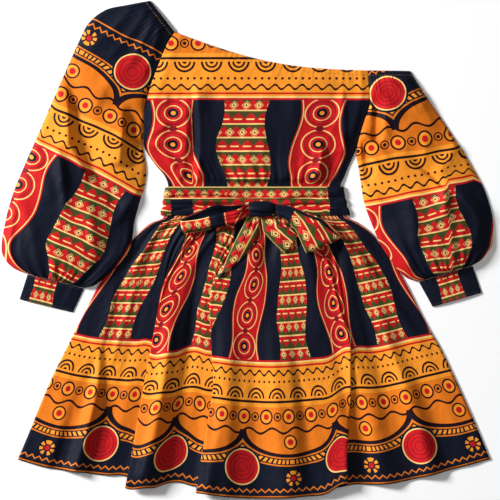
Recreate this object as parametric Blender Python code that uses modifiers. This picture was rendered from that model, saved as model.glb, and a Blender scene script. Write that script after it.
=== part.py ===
"""Off-shoulder dress with long puffed sleeves and a tied sash, laid flat on its back.

Every seam is drawn first, as on a paper pattern, and each piece of cloth is lofted between its
seams and given a wall. X runs across the dress, +Y from hem to neckline, +Z up from the surface
that the dress lies on. Left and right are as seen from above. The tables are in millimetres.
"""
import math
from typing import NamedTuple

import bpy
import numpy as np
from mathutils import Vector
from mathutils.bvhtree import BVHTree

MM = 0.001

# Cloth and seams
WALL = 1.2
SEAM_GAP = 0.3
BACK_LEVEL = WALL / 2
LAYER = WALL + SEAM_GAP
FRONT_LEVEL = BACK_LEVEL + LAYER
ARM_LIFT = 3 * LAYER
UNDERARM_GAP = 2.4
CUFF_GAP = 1.3
BELT_LEVEL = BACK_LEVEL + 3 * LAYER + 0.3

# Skirt
FLARE_POINT = (7.0, 537.0)
FOLD_LAYER = 3.0
FOLD_RISE = 90.0
HEM_REACH = 1000.0
GATHER_PITCH = 4
GATHER_HEIGHT = 1.6

# Belt and bow
KNOT_LEFT, KNOT_RIGHT = 3.0, 47.0
KNOT_BOTTOM, KNOT_TOP = 61.0, 89.0
BOW_CLEARANCE = 1.6

# Heights of the middles of the layers inside the knot
ROOT_LEVEL = BELT_LEVEL + 0.3 + LAYER
KNOT_UNDER = ROOT_LEVEL + LAYER + 0.2
NECK_LOWER = KNOT_UNDER + LAYER + 0.2
NECK_UPPER = NECK_LOWER + FOLD_LAYER
KNOT_OVER = NECK_UPPER + LAYER + 0.4

# The middle of the dress, which the part's origin lies under
MIDDLE = (0.45, 0.61)


class BodiceRow(NamedTuple):
    """One line across the bodice, from its left seam to its right seam."""

    name: str
    left_x: float
    left_y: float
    right_x: float
    right_y: float
    sag: float
    swell: float
    left_lift: float
    right_lift: float
    over_belt: float


BODICE_ROWS = [
    BodiceRow("waist seam", -148, 90, 176, 90, 0, 0, 0, 0, 1),
    BodiceRow("top of the belt", -146.5, 119, 172.5, 119, 0, 0, 0, 0, 1),
    BodiceRow("fullness over the belt", -153, 136, 179, 134, 1, 4.5, 0, 0, 0.35),
    BodiceRow("below the arms", -171, 158, 187, 154, 2, 7, 0, 0, 0),
    BodiceRow("underarm points", -191, 191, 199, 180, 3, 8, 0.4, 0.4, 0),
    BodiceRow("low chest", -191, 222, 206, 205, 5, 9, 2, 2, 0),
    BodiceRow("chest", -190, 262, 216, 238, 8, 10, 3.5, 3.5, 0),
    BodiceRow("high chest", -182, 293, 225, 265, 11, 10, 4.5, 4, 0),
    BodiceRow("armhole", -167, 334, 226, 290, 15, 9, 4.5, 3.5, 0),
    BodiceRow("under the neckline", -147, 382, 224, 315, 19, 7, 3.5, 2.5, 0),
    BodiceRow("neckline", -134, 402, 223, 331, 20, 5, 2, 1.5, 0),
]
UNDERARM_ROW = 4


class CapRow(NamedTuple):
    """One line across a sleeve above the underarm: its inner end is on the bodice seam."""

    outer_x: float
    outer_y: float
    swell: float


class ArmRow(NamedTuple):
    """One line across a sleeve below the underarm, from its outer edge to its inner edge."""

    outer_x: float
    outer_y: float
    inner_x: float
    inner_y: float
    swell: float


LEFT_CAP = [
    CapRow(-180, 460, 2),
    CapRow(-223, 452, 5),
    CapRow(-262, 443, 8),
    CapRow(-293, 419, 10),
    CapRow(-312, 383, 12),
    CapRow(-334, 334, 13),
    CapRow(-362, 270, 13),
]
LEFT_ARM = [
    ArmRow(-391, 203, -187, 150, 14),
    ArmRow(-413, 153, -190, 118, 15),
    ArmRow(-434, 101, -200, 86, 17),
    ArmRow(-447, 53, -209, 51, 19),
    ArmRow(-454, 12, -214, 14, 20),
    ArmRow(-453, -8, -222, -8, 19),
    ArmRow(-443, -25, -240, -30, 17),
    ArmRow(-428, -37, -263, -51, 14),
    ArmRow(-417, -41, -283, -66, 11),
    ArmRow(-406, -45, -302, -71, 5),
]
RIGHT_CAP = [
    CapRow(301, 330, 2),
    CapRow(308, 318, 4),
    CapRow(325, 292, 7),
    CapRow(345, 262, 10),
    CapRow(366, 231, 12),
    CapRow(386, 200, 13),
    CapRow(400, 180, 13),
]
RIGHT_ARM = [
    ArmRow(419, 147, 206, 150, 14),
    ArmRow(436, 116, 211, 118, 15),
    ArmRow(447, 86, 215, 92, 17),
    ArmRow(454, 56, 222, 69, 19),
    ArmRow(455, 31, 232, 43, 20),
    ArmRow(452, 6, 245, 12, 19),
    ArmRow(445, -5, 262, -15, 17),
    ArmRow(436, -16, 279, -38, 14),
    ArmRow(427, -23, 296, -53, 11),
    ArmRow(416, -29, 317, -59, 5),
]


# A sleeve is open along the bodice down to this row of its cap
UNDERARM_CAP = len(LEFT_CAP) - 1

# Shares of a sleeve's width at which its front and back points lie
SLEEVE_FRONT = (0.035, 0.08, 0.15, 0.23, 0.31, 0.39, 0.47, 0.55, 0.63, 0.71, 0.79, 0.86, 0.92, 0.965)
SLEEVE_BACK = (0.97, 0.9, 0.7, 0.5, 0.3, 0.1, 0.03)
CUFF_GATHERS = 5


class CuffEnds(NamedTuple):
    """The four corners of a flattened cuff: at its seam, then at its free edge."""

    outer_x: float
    outer_y: float
    inner_x: float
    inner_y: float
    free_outer_x: float
    free_outer_y: float
    free_inner_x: float
    free_inner_y: float


LEFT_CUFF = CuffEnds(-406, -45, -302, -71, -421, -92, -323, -116)
RIGHT_CUFF = CuffEnds(416, -29, 317, -59, 433, -80, 343, -106)


class SkirtRow(NamedTuple):
    """One line across the skirt, with the share that it curves round the flare point."""

    name: str
    left_x: float
    left_y: float
    right_x: float
    right_y: float
    curve: float
    swell: float
    gather: float
    over_belt: float


SKIRT_ROWS = [
    SkirtRow("waist seam", -148, 89.4, 176, 89.4, 0, 0, 0, 1),
    SkirtRow("bottom of the belt", -154, 60, 184, 60, 0, 0, 0, 1),
    SkirtRow("high hip", -178, 49, 200, 52, 0.1, 3, 0.8, 0.5),
    SkirtRow("hip", -197, 34, 229, 31, 0.3, 6, 1.3, 0),
    SkirtRow("low hip", -212, 18, 246, 9, 0.5, 7, 1.3, 0),
    SkirtRow("sleeve ends", -232, -8, 264, -12, 0.7, 8, 1.1, 0),
    SkirtRow("high thigh", -254, -38, 279, -38, 0.85, 8, 0.8, 0),
    SkirtRow("thigh", -275, -66, 297, -70, 1, 8, 0.5, 0),
    SkirtRow("a third down", -293, -101, 316, -108, 1, 8, 0.3, 0),
    SkirtRow("above the folds", -313, -140, 336, -146, 1, 8, 0.15, 0),
    SkirtRow("half way down", -336, -186, 358, -184, 1, 8, 0, 0),
    SkirtRow("low folds", -360, -234, 381, -232, 1, 8, 0, 0),
    SkirtRow("two thirds down", -382, -285, 403, -280, 1, 7, 0, 0),
    SkirtRow("above the hem", -403, -337, 427, -335, 1, 6, 0, 0),
    SkirtRow("hem", -425, -389, 449, -388, 1, 5, 0, 0),
]


class SkirtFold(NamedTuple):
    """A fold that runs down the skirt. Angles are in degrees about the flare point."""

    name: str
    top_angle: float
    mid_angle: float
    hem_angle: float
    start: float
    overlap: float
    front_side: int
    under_radius: float
    over_radius: float


# front_side is 1 where the cloth on the right lies in front, and -1 where the left does
SKIRT_FOLDS = [
    SkirtFold("left fold", -14.9, -14.1, -13.4, 655, 22, 1, 984, 1005),
    SkirtFold("left of centre", -7.1, -5.0, -5.9, 620, 26, 1, 980, 992),
    SkirtFold("right fold", 14.5, 12.6, 10.4, 740, 22, -1, 990, 986),
]


class HemPoint(NamedTuple):
    """The hem's distance from the flare point at one angle."""

    angle: float
    radius: float


FRONT_HEM = [
    [HemPoint(-25.7, 1023), HemPoint(-21.8, 1013), HemPoint(-18.6, 1001), HemPoint(-13.4, 984)],
    [HemPoint(-13.4, 1005), HemPoint(-10.3, 993), HemPoint(-8.4, 976), HemPoint(-5.9, 980)],
    [HemPoint(-5.9, 992), HemPoint(0, 997), HemPoint(8.6, 999), HemPoint(10.4, 986)],
    [HemPoint(10.4, 990), HemPoint(15.2, 1004), HemPoint(21.9, 1015), HemPoint(25.6, 1025)],
]
BACK_HEM = [
    HemPoint(-25.7, 1023),
    HemPoint(-16, 988),
    HemPoint(-9, 968),
    HemPoint(-5, 970),
    HemPoint(2, 984),
    HemPoint(10.4, 976),
    HemPoint(16, 996),
    HemPoint(25.6, 1025),
]
PLAIN_COLUMNS = [7, 4, 7, 6]


class BeltRow(NamedTuple):
    """One line along the belt: its place, its two ends and its height over the flat run."""

    y: float
    left_x: float
    right_x: float
    height: float


BELT_ROWS = [
    BeltRow(116, -152, 178, 0),
    BeltRow(110, -152.5, 178.5, 3.2),
    BeltRow(101, -155, 180, 3),
    BeltRow(95, -154.5, 181, 0.4),
    BeltRow(88, -157, 184, 3.2),
    BeltRow(80, -155.5, 184, 0.6),
    BeltRow(73, -160, 188, 2.8),
    BeltRow(63, -160, 190, 0),
]


class BandRow(NamedTuple):
    """One line across a piece of the bow, from one edge of the band to the other."""

    left_x: float
    left_y: float
    right_x: float
    right_y: float
    puff: float


LEFT_TAIL = [
    BandRow(6, 75, 22, 75, 0),
    BandRow(2, 61, 22, 59, 0),
    BandRow(-11, 38, 20, 33, 2),
    BandRow(-26, 8, 9, 6, 3),
    BandRow(-37, -15, -8, -14, 3),
    BandRow(-46, -38, -30, -34, 2),
    BandRow(-55, -57, -50, -54, 0),
]
RIGHT_TAIL = [
    BandRow(24.5, 75, 42, 75, 0),
    BandRow(25, 59, 46, 59, 0),
    BandRow(30, 33, 69, 45, 3),
    BandRow(47, 14, 82, 36, 3),
    BandRow(70, -8, 94, 26, 1),
]
LEFT_LOOP = [
    BandRow(24.8, 66, 24.8, 84, 0),
    BandRow(3, 66, 3, 84, 0),
    BandRow(-20, 49, -21, 83, 3),
    BandRow(-54, 41, -62, 81, 5),
    BandRow(-85, 34, -96, 68, 6),
    BandRow(-112, 30, -120, 57, 5),
]
RIGHT_LOOP = [
    BandRow(25.2, 66, 25.2, 84, 0),
    BandRow(47, 66, 47, 84, 0),
    BandRow(70, 56, 78, 80, 4),
    BandRow(90, 34, 108, 68, 6),
    BandRow(99, 14, 140, 57, 7),
    BandRow(107, -4, 172, 26, 6),
]


class SoftFold(NamedTuple):
    """A soft ridge (or trough, where its height is below 0) along a straight line."""

    start_x: float
    start_y: float
    end_x: float
    end_y: float
    width: float
    height: float


BODICE_FOLDS = [
    SoftFold(-99, 300, -99, 118, 16, 4),
    SoftFold(-120, 290, -124, 140, 14, -3),
    SoftFold(138, 220, 126, 118, 16, 3),
    SoftFold(176, 290, 150, 220, 20, -3),
    SoftFold(30, 200, 40, 120, 24, 3),
]
SLEEVE_FOLDS = [
    SoftFold(-328, 297, -300, 170, 26, -5),
    SoftFold(-300, 170, -240, 70, 24, -4),
    SoftFold(-352, 180, -345, 118, 20, 5),
    SoftFold(-200, 430, -262, 340, 20, -3),
    SoftFold(-190, 225, -250, 260, 20, -4),
    SoftFold(310, 158, 364, 112, 20, -4),
    SoftFold(364, 120, 364, 62, 18, 5),
    SoftFold(392, 100, 425, 62, 18, 4),
    SoftFold(212, 240, 250, 200, 22, -4),
]
SKIRT_SOFT_FOLDS = [
    SoftFold(-230, -51, -272, -250, 22, -5),
    SoftFold(-272, -250, -291, -400, 22, -5),
    SoftFold(184, 8, 279, -112, 18, 4),
    SoftFold(279, -112, 323, -182, 18, 4),
    SoftFold(-119, -440, -110, -340, 22, -5),
    SoftFold(60, -160, 90, -450, 50, 5),
    SoftFold(290, -250, 330, -410, 34, 5),
    SoftFold(-350, -300, -375, -400, 26, 4),
]


class Finish(NamedTuple):
    """The colour and shine of one kind of cloth."""

    name: str
    colour: tuple
    roughness: float


PRINTED_ORANGE = Finish("printed_orange", (0.91, 0.36, 0.05, 1), 0.55)
PRINTED_RED = Finish("printed_red", (0.69, 0.02, 0.03, 1), 0.55)
PRINTED_NAVY = Finish("printed_navy", (0.01, 0.016, 0.037, 1), 0.5)


def smooth(t):
    """An even rise from 0 to 1 with level ends."""
    t = np.clip(t, 0.0, 1.0)
    return t * t * (3 - 2 * t)


def dome(u, fullness=0.75):
    """0 at both edges of a panel and 1 in its middle."""
    return np.sin(np.pi * np.clip(u, 0, 1)) ** fullness


def hem_radius(points, angle):
    """Reads a hem table at one angle."""
    return float(np.interp(angle, [p.angle for p in points], [p.radius for p in points]))


def start_scene():
    """Empties the scene and returns the collection for the dress."""
    for item in list(bpy.data.objects):
        bpy.data.objects.remove(item, do_unlink=True)
    collection = bpy.data.collections.new("off_shoulder_dress")
    bpy.context.scene.collection.children.link(collection)
    return collection


def cloth_material(finish):
    """Makes the Principled material of a finish, or finds it if it is there already."""
    material = bpy.data.materials.get(finish.name)
    if material is None:
        material = bpy.data.materials.new(finish.name)
        material.use_nodes = True
        shader = material.node_tree.nodes["Principled BSDF"]
        shader.inputs["Base Color"].default_value = finish.colour
        shader.inputs["Roughness"].default_value = finish.roughness
        shader.inputs["Metallic"].default_value = 0.0
    return material


def loft(collection, name, grid, finish, ring=False, joined_from=None):
    """Joins a grid of points, in rows, into a surface and gives it the cloth's wall.

    ring closes every row on itself. joined_from does so from that row on, by making the last
    point of a row the same as its first.
    """
    rows, columns = grid.shape[:2]
    numbers = np.arange(rows * columns).reshape(rows, columns)
    if joined_from is not None:
        numbers[joined_from:, -1] = numbers[joined_from:, 0]
    if ring:
        numbers = np.hstack([numbers, numbers[:, :1]])
    faces = []
    for row in range(rows - 1):
        for column in range(numbers.shape[1] - 1):
            faces.append(
                (
                    int(numbers[row, column]),
                    int(numbers[row, column + 1]),
                    int(numbers[row + 1, column + 1]),
                    int(numbers[row + 1, column]),
                )
            )
    used = sorted({corner for face in faces for corner in face})
    places = {old: new for new, old in enumerate(used)}
    points = (grid.reshape(-1, 3)[used] - np.array([*MIDDLE, 0])) * MM
    mesh = bpy.data.meshes.new(name)
    mesh.from_pydata(points.tolist(), [], [[places[c] for c in face] for face in faces])
    mesh.shade_smooth()
    piece = bpy.data.objects.new(name, mesh)
    piece.data.materials.append(cloth_material(finish))
    collection.objects.link(piece)
    wall = piece.modifiers.new("cloth wall", "SOLIDIFY")
    wall.thickness = WALL * MM
    wall.offset = 0.0
    wall.use_even_offset = True
    wall.use_quality_normals = True
    return piece


def bodice_grid(front):
    """The bodice's points, from the waist seam up to the neckline."""
    across = np.linspace(0, 1, 15 if front else 7)
    grid = np.zeros((len(BODICE_ROWS), len(across), 3))
    for i, row in enumerate(BODICE_ROWS):
        x = row.left_x + (row.right_x - row.left_x) * across
        y = row.left_y + (row.right_y - row.left_y) * across - row.sag * np.sin(np.pi * across)
        z = np.full(len(across), BACK_LEVEL + LAYER * row.over_belt)
        if front:
            seam = row.left_lift + (row.right_lift - row.left_lift) * across
            z = FRONT_LEVEL + LAYER * row.over_belt + seam + row.swell * dome(across)
            z = z + bodice_folds(x, y, row.swell)
        grid[i] = np.stack([x, y, z], axis=1)
    return grid


def soft_folds(folds, x, y):
    """The height that a table of soft folds adds at each point."""
    total = np.zeros_like(np.asarray(x, dtype=float))
    for fold in folds:
        start = np.array([fold.start_x, fold.start_y])
        run = np.array([fold.end_x, fold.end_y]) - start
        length = np.hypot(*run)
        along = ((x - start[0]) * run[0] + (y - start[1]) * run[1]) / length**2
        nearest = np.clip(along, 0, 1)
        away = np.hypot(x - start[0] - run[0] * nearest, y - start[1] - run[1] * nearest)
        total = total + fold.height * np.exp(-((away / fold.width) ** 2))
    return total


def bodice_folds(x, y, swell):
    """The bodice's soft folds, which fade where the panel lies low."""
    return soft_folds(BODICE_FOLDS, x, y) * min(1.0, swell / 7)


def skirt_edge_lift(x, y):
    """How far the underside of a sleeve rises where it lies over the skirt's side edge."""
    side = "left" if x < 0 else "right"
    edge_y = [getattr(row, side + "_y") for row in SKIRT_ROWS][::-1]
    edge_x = [getattr(row, side + "_x") for row in SKIRT_ROWS][::-1]
    edge = np.interp(y, edge_y, edge_x)
    inside = x - edge if side == "left" else edge - x
    if y > SKIRT_ROWS[1].left_y:
        return 0.0
    return ARM_LIFT * float(smooth((inside + 30) / 24))


def sleeve_grid(cap, arm, sign):
    """A sleeve's points, from the neckline to the cuff.

    Each row starts at the inner edge, runs over the front to the outer edge, and back below.
    """
    seam_rows = BODICE_ROWS[UNDERARM_ROW:][::-1]
    rows = []
    for row, seam in zip(cap, seam_rows):
        gap = UNDERARM_GAP if seam is seam_rows[-1] else SEAM_GAP * 2
        inner_x = (seam.left_x if sign < 0 else seam.right_x) + sign * gap
        inner_y = seam.left_y if sign < 0 else seam.right_y
        lift = seam.left_lift if sign < 0 else seam.right_lift
        rows.append((row.outer_x, row.outer_y, inner_x, inner_y, row.swell, lift))
    for row in arm:
        rows.append((row.outer_x, row.outer_y, row.inner_x, row.inner_y, row.swell, 0.0))
    grid = []
    for i, (outer_x, outer_y, inner_x, inner_y, swell, lift) in enumerate(rows):
        open_seam = i < len(cap) - 1
        gather = smooth((i - len(rows) + 5) / 4) * 1.6
        grid.append(sleeve_row(outer_x, outer_y, inner_x, inner_y, swell, lift, open_seam, gather))
    return np.array(grid)


def sleeve_row(outer_x, outer_y, inner_x, inner_y, swell, lift, open_seam, gather):
    """The points of one row of a sleeve."""
    points = []

    def place(share, z):
        """Adds a point at a share of the way from the inner to the outer edge."""
        x = inner_x + (outer_x - inner_x) * share
        y = inner_y + (outer_y - inner_y) * share
        points.append([x, y, z])
        return x, y

    under = skirt_edge_lift(inner_x, inner_y)
    if open_seam:
        place(0.0, FRONT_LEVEL + lift)
    else:
        place(0.0, (FRONT_LEVEL + BACK_LEVEL) / 2 + under + lift / 2)
    for share in SLEEVE_FRONT:
        x = inner_x + (outer_x - inner_x) * share
        y = inner_y + (outer_y - inner_y) * share
        z = FRONT_LEVEL + skirt_edge_lift(x, y) + lift * (1 - share) + swell * dome(share, 0.6)
        fold = soft_folds(SLEEVE_FOLDS, np.array([x]), np.array([y]))[0]
        z += fold * min(1.0, swell / 12) * dome(share)
        z += gather * math.cos(2 * math.pi * CUFF_GATHERS * share) * dome(share, 0.5)
        place(share, max(z, FRONT_LEVEL + skirt_edge_lift(x, y)))
    outer_under = skirt_edge_lift(outer_x, outer_y)
    place(1.0, (FRONT_LEVEL + BACK_LEVEL) / 2 + outer_under)
    for share in SLEEVE_BACK:
        x = inner_x + (outer_x - inner_x) * share
        y = inner_y + (outer_y - inner_y) * share
        place(share, BACK_LEVEL + skirt_edge_lift(x, y))
    if open_seam:
        place(0.0, BACK_LEVEL)
    else:
        points.append(points[0])
    return points


def cuff_grid(ends):
    """A cuff's points: closed rings from its seam to its free edge."""
    outer = np.array([ends.outer_x, ends.outer_y])
    inner = np.array([ends.inner_x, ends.inner_y])
    free_outer = np.array([ends.free_outer_x, ends.free_outer_y])
    free_inner = np.array([ends.free_inner_x, ends.free_inner_y])
    depth = np.hypot(*(free_outer - outer))
    first = CUFF_GAP / depth
    grid = []
    for down in (first, 0.25, 0.5, 0.75, 1.0):
        a = inner + (free_inner - inner) * down
        b = outer + (free_outer - outer) * down
        middle = (a + b) / 2
        under = skirt_edge_lift(float(middle[0]), float(middle[1]))
        row = []
        shares = np.linspace(0, 1, 11)
        for share in shares:
            x, y = a + (b - a) * share
            puff = 3.0 * dome(share, 0.6) * (1 - 0.4 * down)
            puff += 0.8 * math.cos(2 * math.pi * CUFF_GATHERS * share) * dome(share) * (1 - down)
            row.append([x, y, FRONT_LEVEL + under + puff])
        row[0][2] = row[-1][2] = (FRONT_LEVEL + BACK_LEVEL) / 2 + under
        for share in (0.97, 0.7, 0.3, 0.03):
            x, y = a + (b - a) * share
            row.append([x, y, BACK_LEVEL + under])
        row[1][:2] = (a + (b - a) * 0.03).tolist()
        row[9][:2] = (a + (b - a) * 0.97).tolist()
        row[1][2] = row[9][2] = FRONT_LEVEL + under
        grid.append(row)
    return np.array(grid)


def fold_angle(fold, radius):
    """A fold's angle at one distance from the flare point."""
    middle = (fold.start + HEM_REACH) / 2
    places = [fold.start, middle, HEM_REACH]
    return float(np.interp(radius, places, [fold.top_angle, fold.mid_angle, fold.hem_angle]))


def fold_section(fold, radius):
    """The eight columns of a skirt fold at one radius.

    Returns their side offsets, their heights, their hem radii, and how far the fold is closed.
    """
    turn = FOLD_LAYER / 2
    past = radius - fold.start
    closed = min(1.0, max(0.0, 1 + past / FOLD_RISE))
    least = FOLD_LAYER
    overlap = least + (fold.overlap - least) * max(0.0, past / (HEM_REACH - fold.start))
    flat_x = np.array([-12, -8.5, -5, -1.5, 2, 5.5, 9, 13])
    flat_z = np.array([0, 0.1, 0.3, 0.5, 0.7, 0.9, 1, 1]) * FOLD_LAYER
    folded_x = np.array([-12, overlap - turn, overlap, overlap - turn, turn, 0, turn, 13])
    folded_z = np.array([0, 0, 0.4, 0.87, 1.13, 1.6, 2, 1.9]) * FOLD_LAYER
    side = flat_x + (folded_x - flat_x) * closed
    up = flat_z + (folded_z - flat_z) * closed
    up = up * float(smooth((past + 2 * FOLD_RISE) / (2 * FOLD_RISE)))
    share = np.array([0, 0.1, 0.3, 0.5, 0.6, 0.9, 1, 1])
    hem = fold.under_radius + (fold.over_radius - fold.under_radius) * share
    if fold.front_side < 0:
        side, up, hem = -side[::-1], up[::-1], hem[::-1]
    return side, up, hem, closed


def skirt_row_points(row, index):
    """One row of the front skirt, from its left edge to its right edge."""
    flare = np.array(FLARE_POINT)
    left = np.array([row.left_x, row.left_y]) - flare
    right = np.array([row.right_x, row.right_y]) - flare
    left_angle = math.degrees(math.atan2(left[0], -left[1]))
    right_angle = math.degrees(math.atan2(right[0], -right[1]))
    left_radius, right_radius = np.hypot(*left), np.hypot(*right)
    middle_radius = (left_radius + right_radius) / 2
    down = smooth((middle_radius - left_reach(0)) / (left_reach(len(SKIRT_ROWS) - 1) - left_reach(0)))
    angles, heights, hems, calm = [], [], [], []
    stops = [left_angle]
    sections, folded = [], []
    for fold in SKIRT_FOLDS:
        side, up, hem, closed = fold_section(fold, middle_radius)
        folded.append(closed)
        centre = fold_angle(fold, middle_radius)
        spread = centre + np.degrees(side / middle_radius)
        sections.append((spread, up, hem))
        stops.extend([spread[0], spread[-1]])
    stops.append(right_angle)
    for part, count in enumerate(PLAIN_COLUMNS):
        start, end = stops[2 * part], stops[2 * part + 1]
        first = 0 if part == 0 else 1
        last = count + 1 if part < len(PLAIN_COLUMNS) - 1 else count + 2
        start_up = sections[part - 1][1][-1] if part > 0 else 0.0
        end_up = sections[part][1][0] if part < len(sections) else 0.0
        for step in range(first, last):
            share = step / (count + 1)
            angle = start + (end - start) * share
            angles.append(angle)
            fall = smooth(share * 1.3)
            heights.append(start_up * (1 - fall) + end_up * smooth((share - 0.3) / 0.7))
            hems.append(hem_radius(FRONT_HEM[part], angle))
            calm.append(0.0)
        if part < len(sections):
            spread, up, hem = sections[part]
            angles.extend(spread)
            heights.extend(up)
            hems.extend(hem)
            calm.extend([folded[part]] * len(spread))
    angles, heights, hems = np.array(angles), np.array(heights), np.array(hems)
    even = np.linspace(0, 1, len(angles))
    share = (angles - left_angle) / (right_angle - left_angle)
    loose = float(smooth((index - 1) / 5))
    share_now = even + (share - even) * loose
    angle_now = np.radians(left_angle + (right_angle - left_angle) * share_now)
    radius = left_radius + (right_radius - left_radius) * share_now
    hem_now = left_reach(-1) + (right_reach(-1) - left_reach(-1)) * share_now
    towards_hem = smooth((index - 5) / (len(SKIRT_ROWS) - 6)) if index > 5 else 0.0
    radius = radius + (hems - hem_now) * towards_hem
    round_x = flare[0] + radius * np.sin(angle_now)
    round_y = flare[1] - radius * np.cos(angle_now)
    flat_x = row.left_x + (row.right_x - row.left_x) * share_now
    flat_y = row.left_y + (row.right_y - row.left_y) * share_now
    x = flat_x + (round_x - flat_x) * row.curve
    y = flat_y + (round_y - flat_y) * row.curve
    clipped = np.clip(share_now, 0, 1)
    z = FRONT_LEVEL + LAYER * row.over_belt + row.swell * dome(clipped, 1)
    ripple = np.cos(2 * np.pi * np.arange(len(angles)) / GATHER_PITCH)
    z = z + GATHER_HEIGHT * row.gather * (1 + ripple * (1 - np.array(calm))) * dome(clipped, 1)
    z = z + heights * smooth((index - 3) / 4)
    z = z + soft_folds(SKIRT_SOFT_FOLDS, x, y) * dome(clipped, 1) * (row.swell / 8)
    return np.stack([x, y, z], axis=1)


def left_reach(index):
    """The distance from the flare point to the skirt's left edge at one row."""
    row = SKIRT_ROWS[index]
    return math.hypot(row.left_x - FLARE_POINT[0], row.left_y - FLARE_POINT[1])


def right_reach(index):
    """The distance from the flare point to the skirt's right edge at one row."""
    row = SKIRT_ROWS[index]
    return math.hypot(row.right_x - FLARE_POINT[0], row.right_y - FLARE_POINT[1])


def skirt_front_grid():
    """The front skirt's points, from the waist seam down to the hem."""
    return np.array([skirt_row_points(row, i) for i, row in enumerate(SKIRT_ROWS)])


def skirt_back_grid():
    """The back skirt's points: flat below, and a little shorter where the front hem is tucked."""
    across = np.linspace(0, 1, 13)
    grid = []
    for index, row in enumerate(SKIRT_ROWS):
        left = (row.left_x - FLARE_POINT[0], row.left_y - FLARE_POINT[1])
        right = (row.right_x - FLARE_POINT[0], row.right_y - FLARE_POINT[1])
        left_angle = math.degrees(math.atan2(left[0], -left[1]))
        right_angle = math.degrees(math.atan2(right[0], -right[1]))
        angle = left_angle + (right_angle - left_angle) * across
        radius = left_reach(index) + (right_reach(index) - left_reach(index)) * across
        end = left_reach(-1) + (right_reach(-1) - left_reach(-1)) * across
        hem = np.array([hem_radius(BACK_HEM, a) for a in angle])
        towards_hem = smooth((index - 5) / (len(SKIRT_ROWS) - 6)) if index > 5 else 0.0
        radius = radius + (hem - end) * towards_hem
        round_x = FLARE_POINT[0] + radius * np.sin(np.radians(angle))
        round_y = FLARE_POINT[1] - radius * np.cos(np.radians(angle))
        flat_x = row.left_x + (row.right_x - row.left_x) * across
        flat_y = row.left_y + (row.right_y - row.left_y) * across
        x = flat_x + (round_x - flat_x) * row.curve
        y = flat_y + (round_y - flat_y) * row.curve
        z = np.full(len(across), BACK_LEVEL + LAYER * row.over_belt)
        grid.append(np.stack([x, y, z], axis=1))
    return np.array(grid)


def belt_grid():
    """The belt's points: one closed loop round the waist for each line along it."""
    grid = []
    for row in BELT_ROWS:
        front = []
        inner_left, inner_right = row.left_x + 4, row.right_x - 4
        for share in np.linspace(0, 1, 15):
            x = inner_left + (inner_right - inner_left) * share
            knot = math.exp(-(((x - (KNOT_LEFT + KNOT_RIGHT) / 2) / 40) ** 4))
            height = row.height * (1 - 0.95 * knot) * dome(0.06 + 0.88 * share, 0.3)
            front.append([x, row.y, BELT_LEVEL + height])
        drop = BELT_LEVEL - BACK_LEVEL
        right_turn = [
            [row.right_x - 1.2, row.y, BELT_LEVEL - 0.12 * drop],
            [row.right_x, row.y, BACK_LEVEL + 0.5 * drop],
            [row.right_x - 1.2, row.y, BACK_LEVEL + 0.12 * drop],
        ]
        back = [
            [inner_right + (inner_left - inner_right) * share, row.y, BACK_LEVEL]
            for share in np.linspace(0, 1, 7)
        ]
        left_turn = [
            [row.left_x + 1.2, row.y, BACK_LEVEL + 0.12 * drop],
            [row.left_x, row.y, BACK_LEVEL + 0.5 * drop],
            [row.left_x + 1.2, row.y, BELT_LEVEL - 0.12 * drop],
        ]
        grid.append(front + right_turn + back + left_turn)
    return np.array(grid)


class Ground:
    """The top of the pieces that the bow lies on."""

    def __init__(self, pieces):
        bpy.context.view_layer.update()
        graph = bpy.context.evaluated_depsgraph_get()
        self.trees = [BVHTree.FromObject(piece, graph) for piece in pieces]

    def height(self, x, y, reach=7.0):
        """The highest point, in millimetres, within reach of a place."""
        best = 0.0
        x, y = x - MIDDLE[0], y - MIDDLE[1]
        for turn in range(9):
            step = reach if turn else 0.0
            angle = turn * math.pi / 4
            place = Vector((x + step * math.cos(angle), y + step * math.sin(angle), 100.0)) * MM
            for tree in self.trees:
                hit = tree.ray_cast(place, Vector((0, 0, -1)))[0]
                if hit is not None:
                    best = max(best, hit.z / MM)
        return best


def between(rows, steps):
    """The rows of a table with evenly spread rows added between them after the second."""
    finer = list(rows[:1])
    for start, end in zip(rows[1:], rows[2:]):
        for step in range(steps):
            share = step / steps
            finer.append(BandRow(*(a + (b - a) * share for a, b in zip(start, end))))
    return finer + [rows[-1]]


def tail_grid(rows, ground):
    """A free end of the sash: one layer of cloth with a soft ridge along it."""
    shares = (0, 0.17, 0.34, 0.5, 0.66, 0.83, 1)
    grid = []
    for index, row in enumerate(between(rows, 2)):
        points = []
        for share in shares:
            x = row.left_x + (row.right_x - row.left_x) * share
            y = row.left_y + (row.right_y - row.left_y) * share
            z = ground.height(x, y) + WALL / 2 + SEAM_GAP
            points.append([x, y, z])
        points = np.array(points)
        if index < 2:
            points[:, 2] = ROOT_LEVEL
        else:
            points[:, 2] = points[:, 2].max() + 0.6 + row.puff * dome(np.array(shares))
        grid.append(points)
    return np.array(grid)


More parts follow.
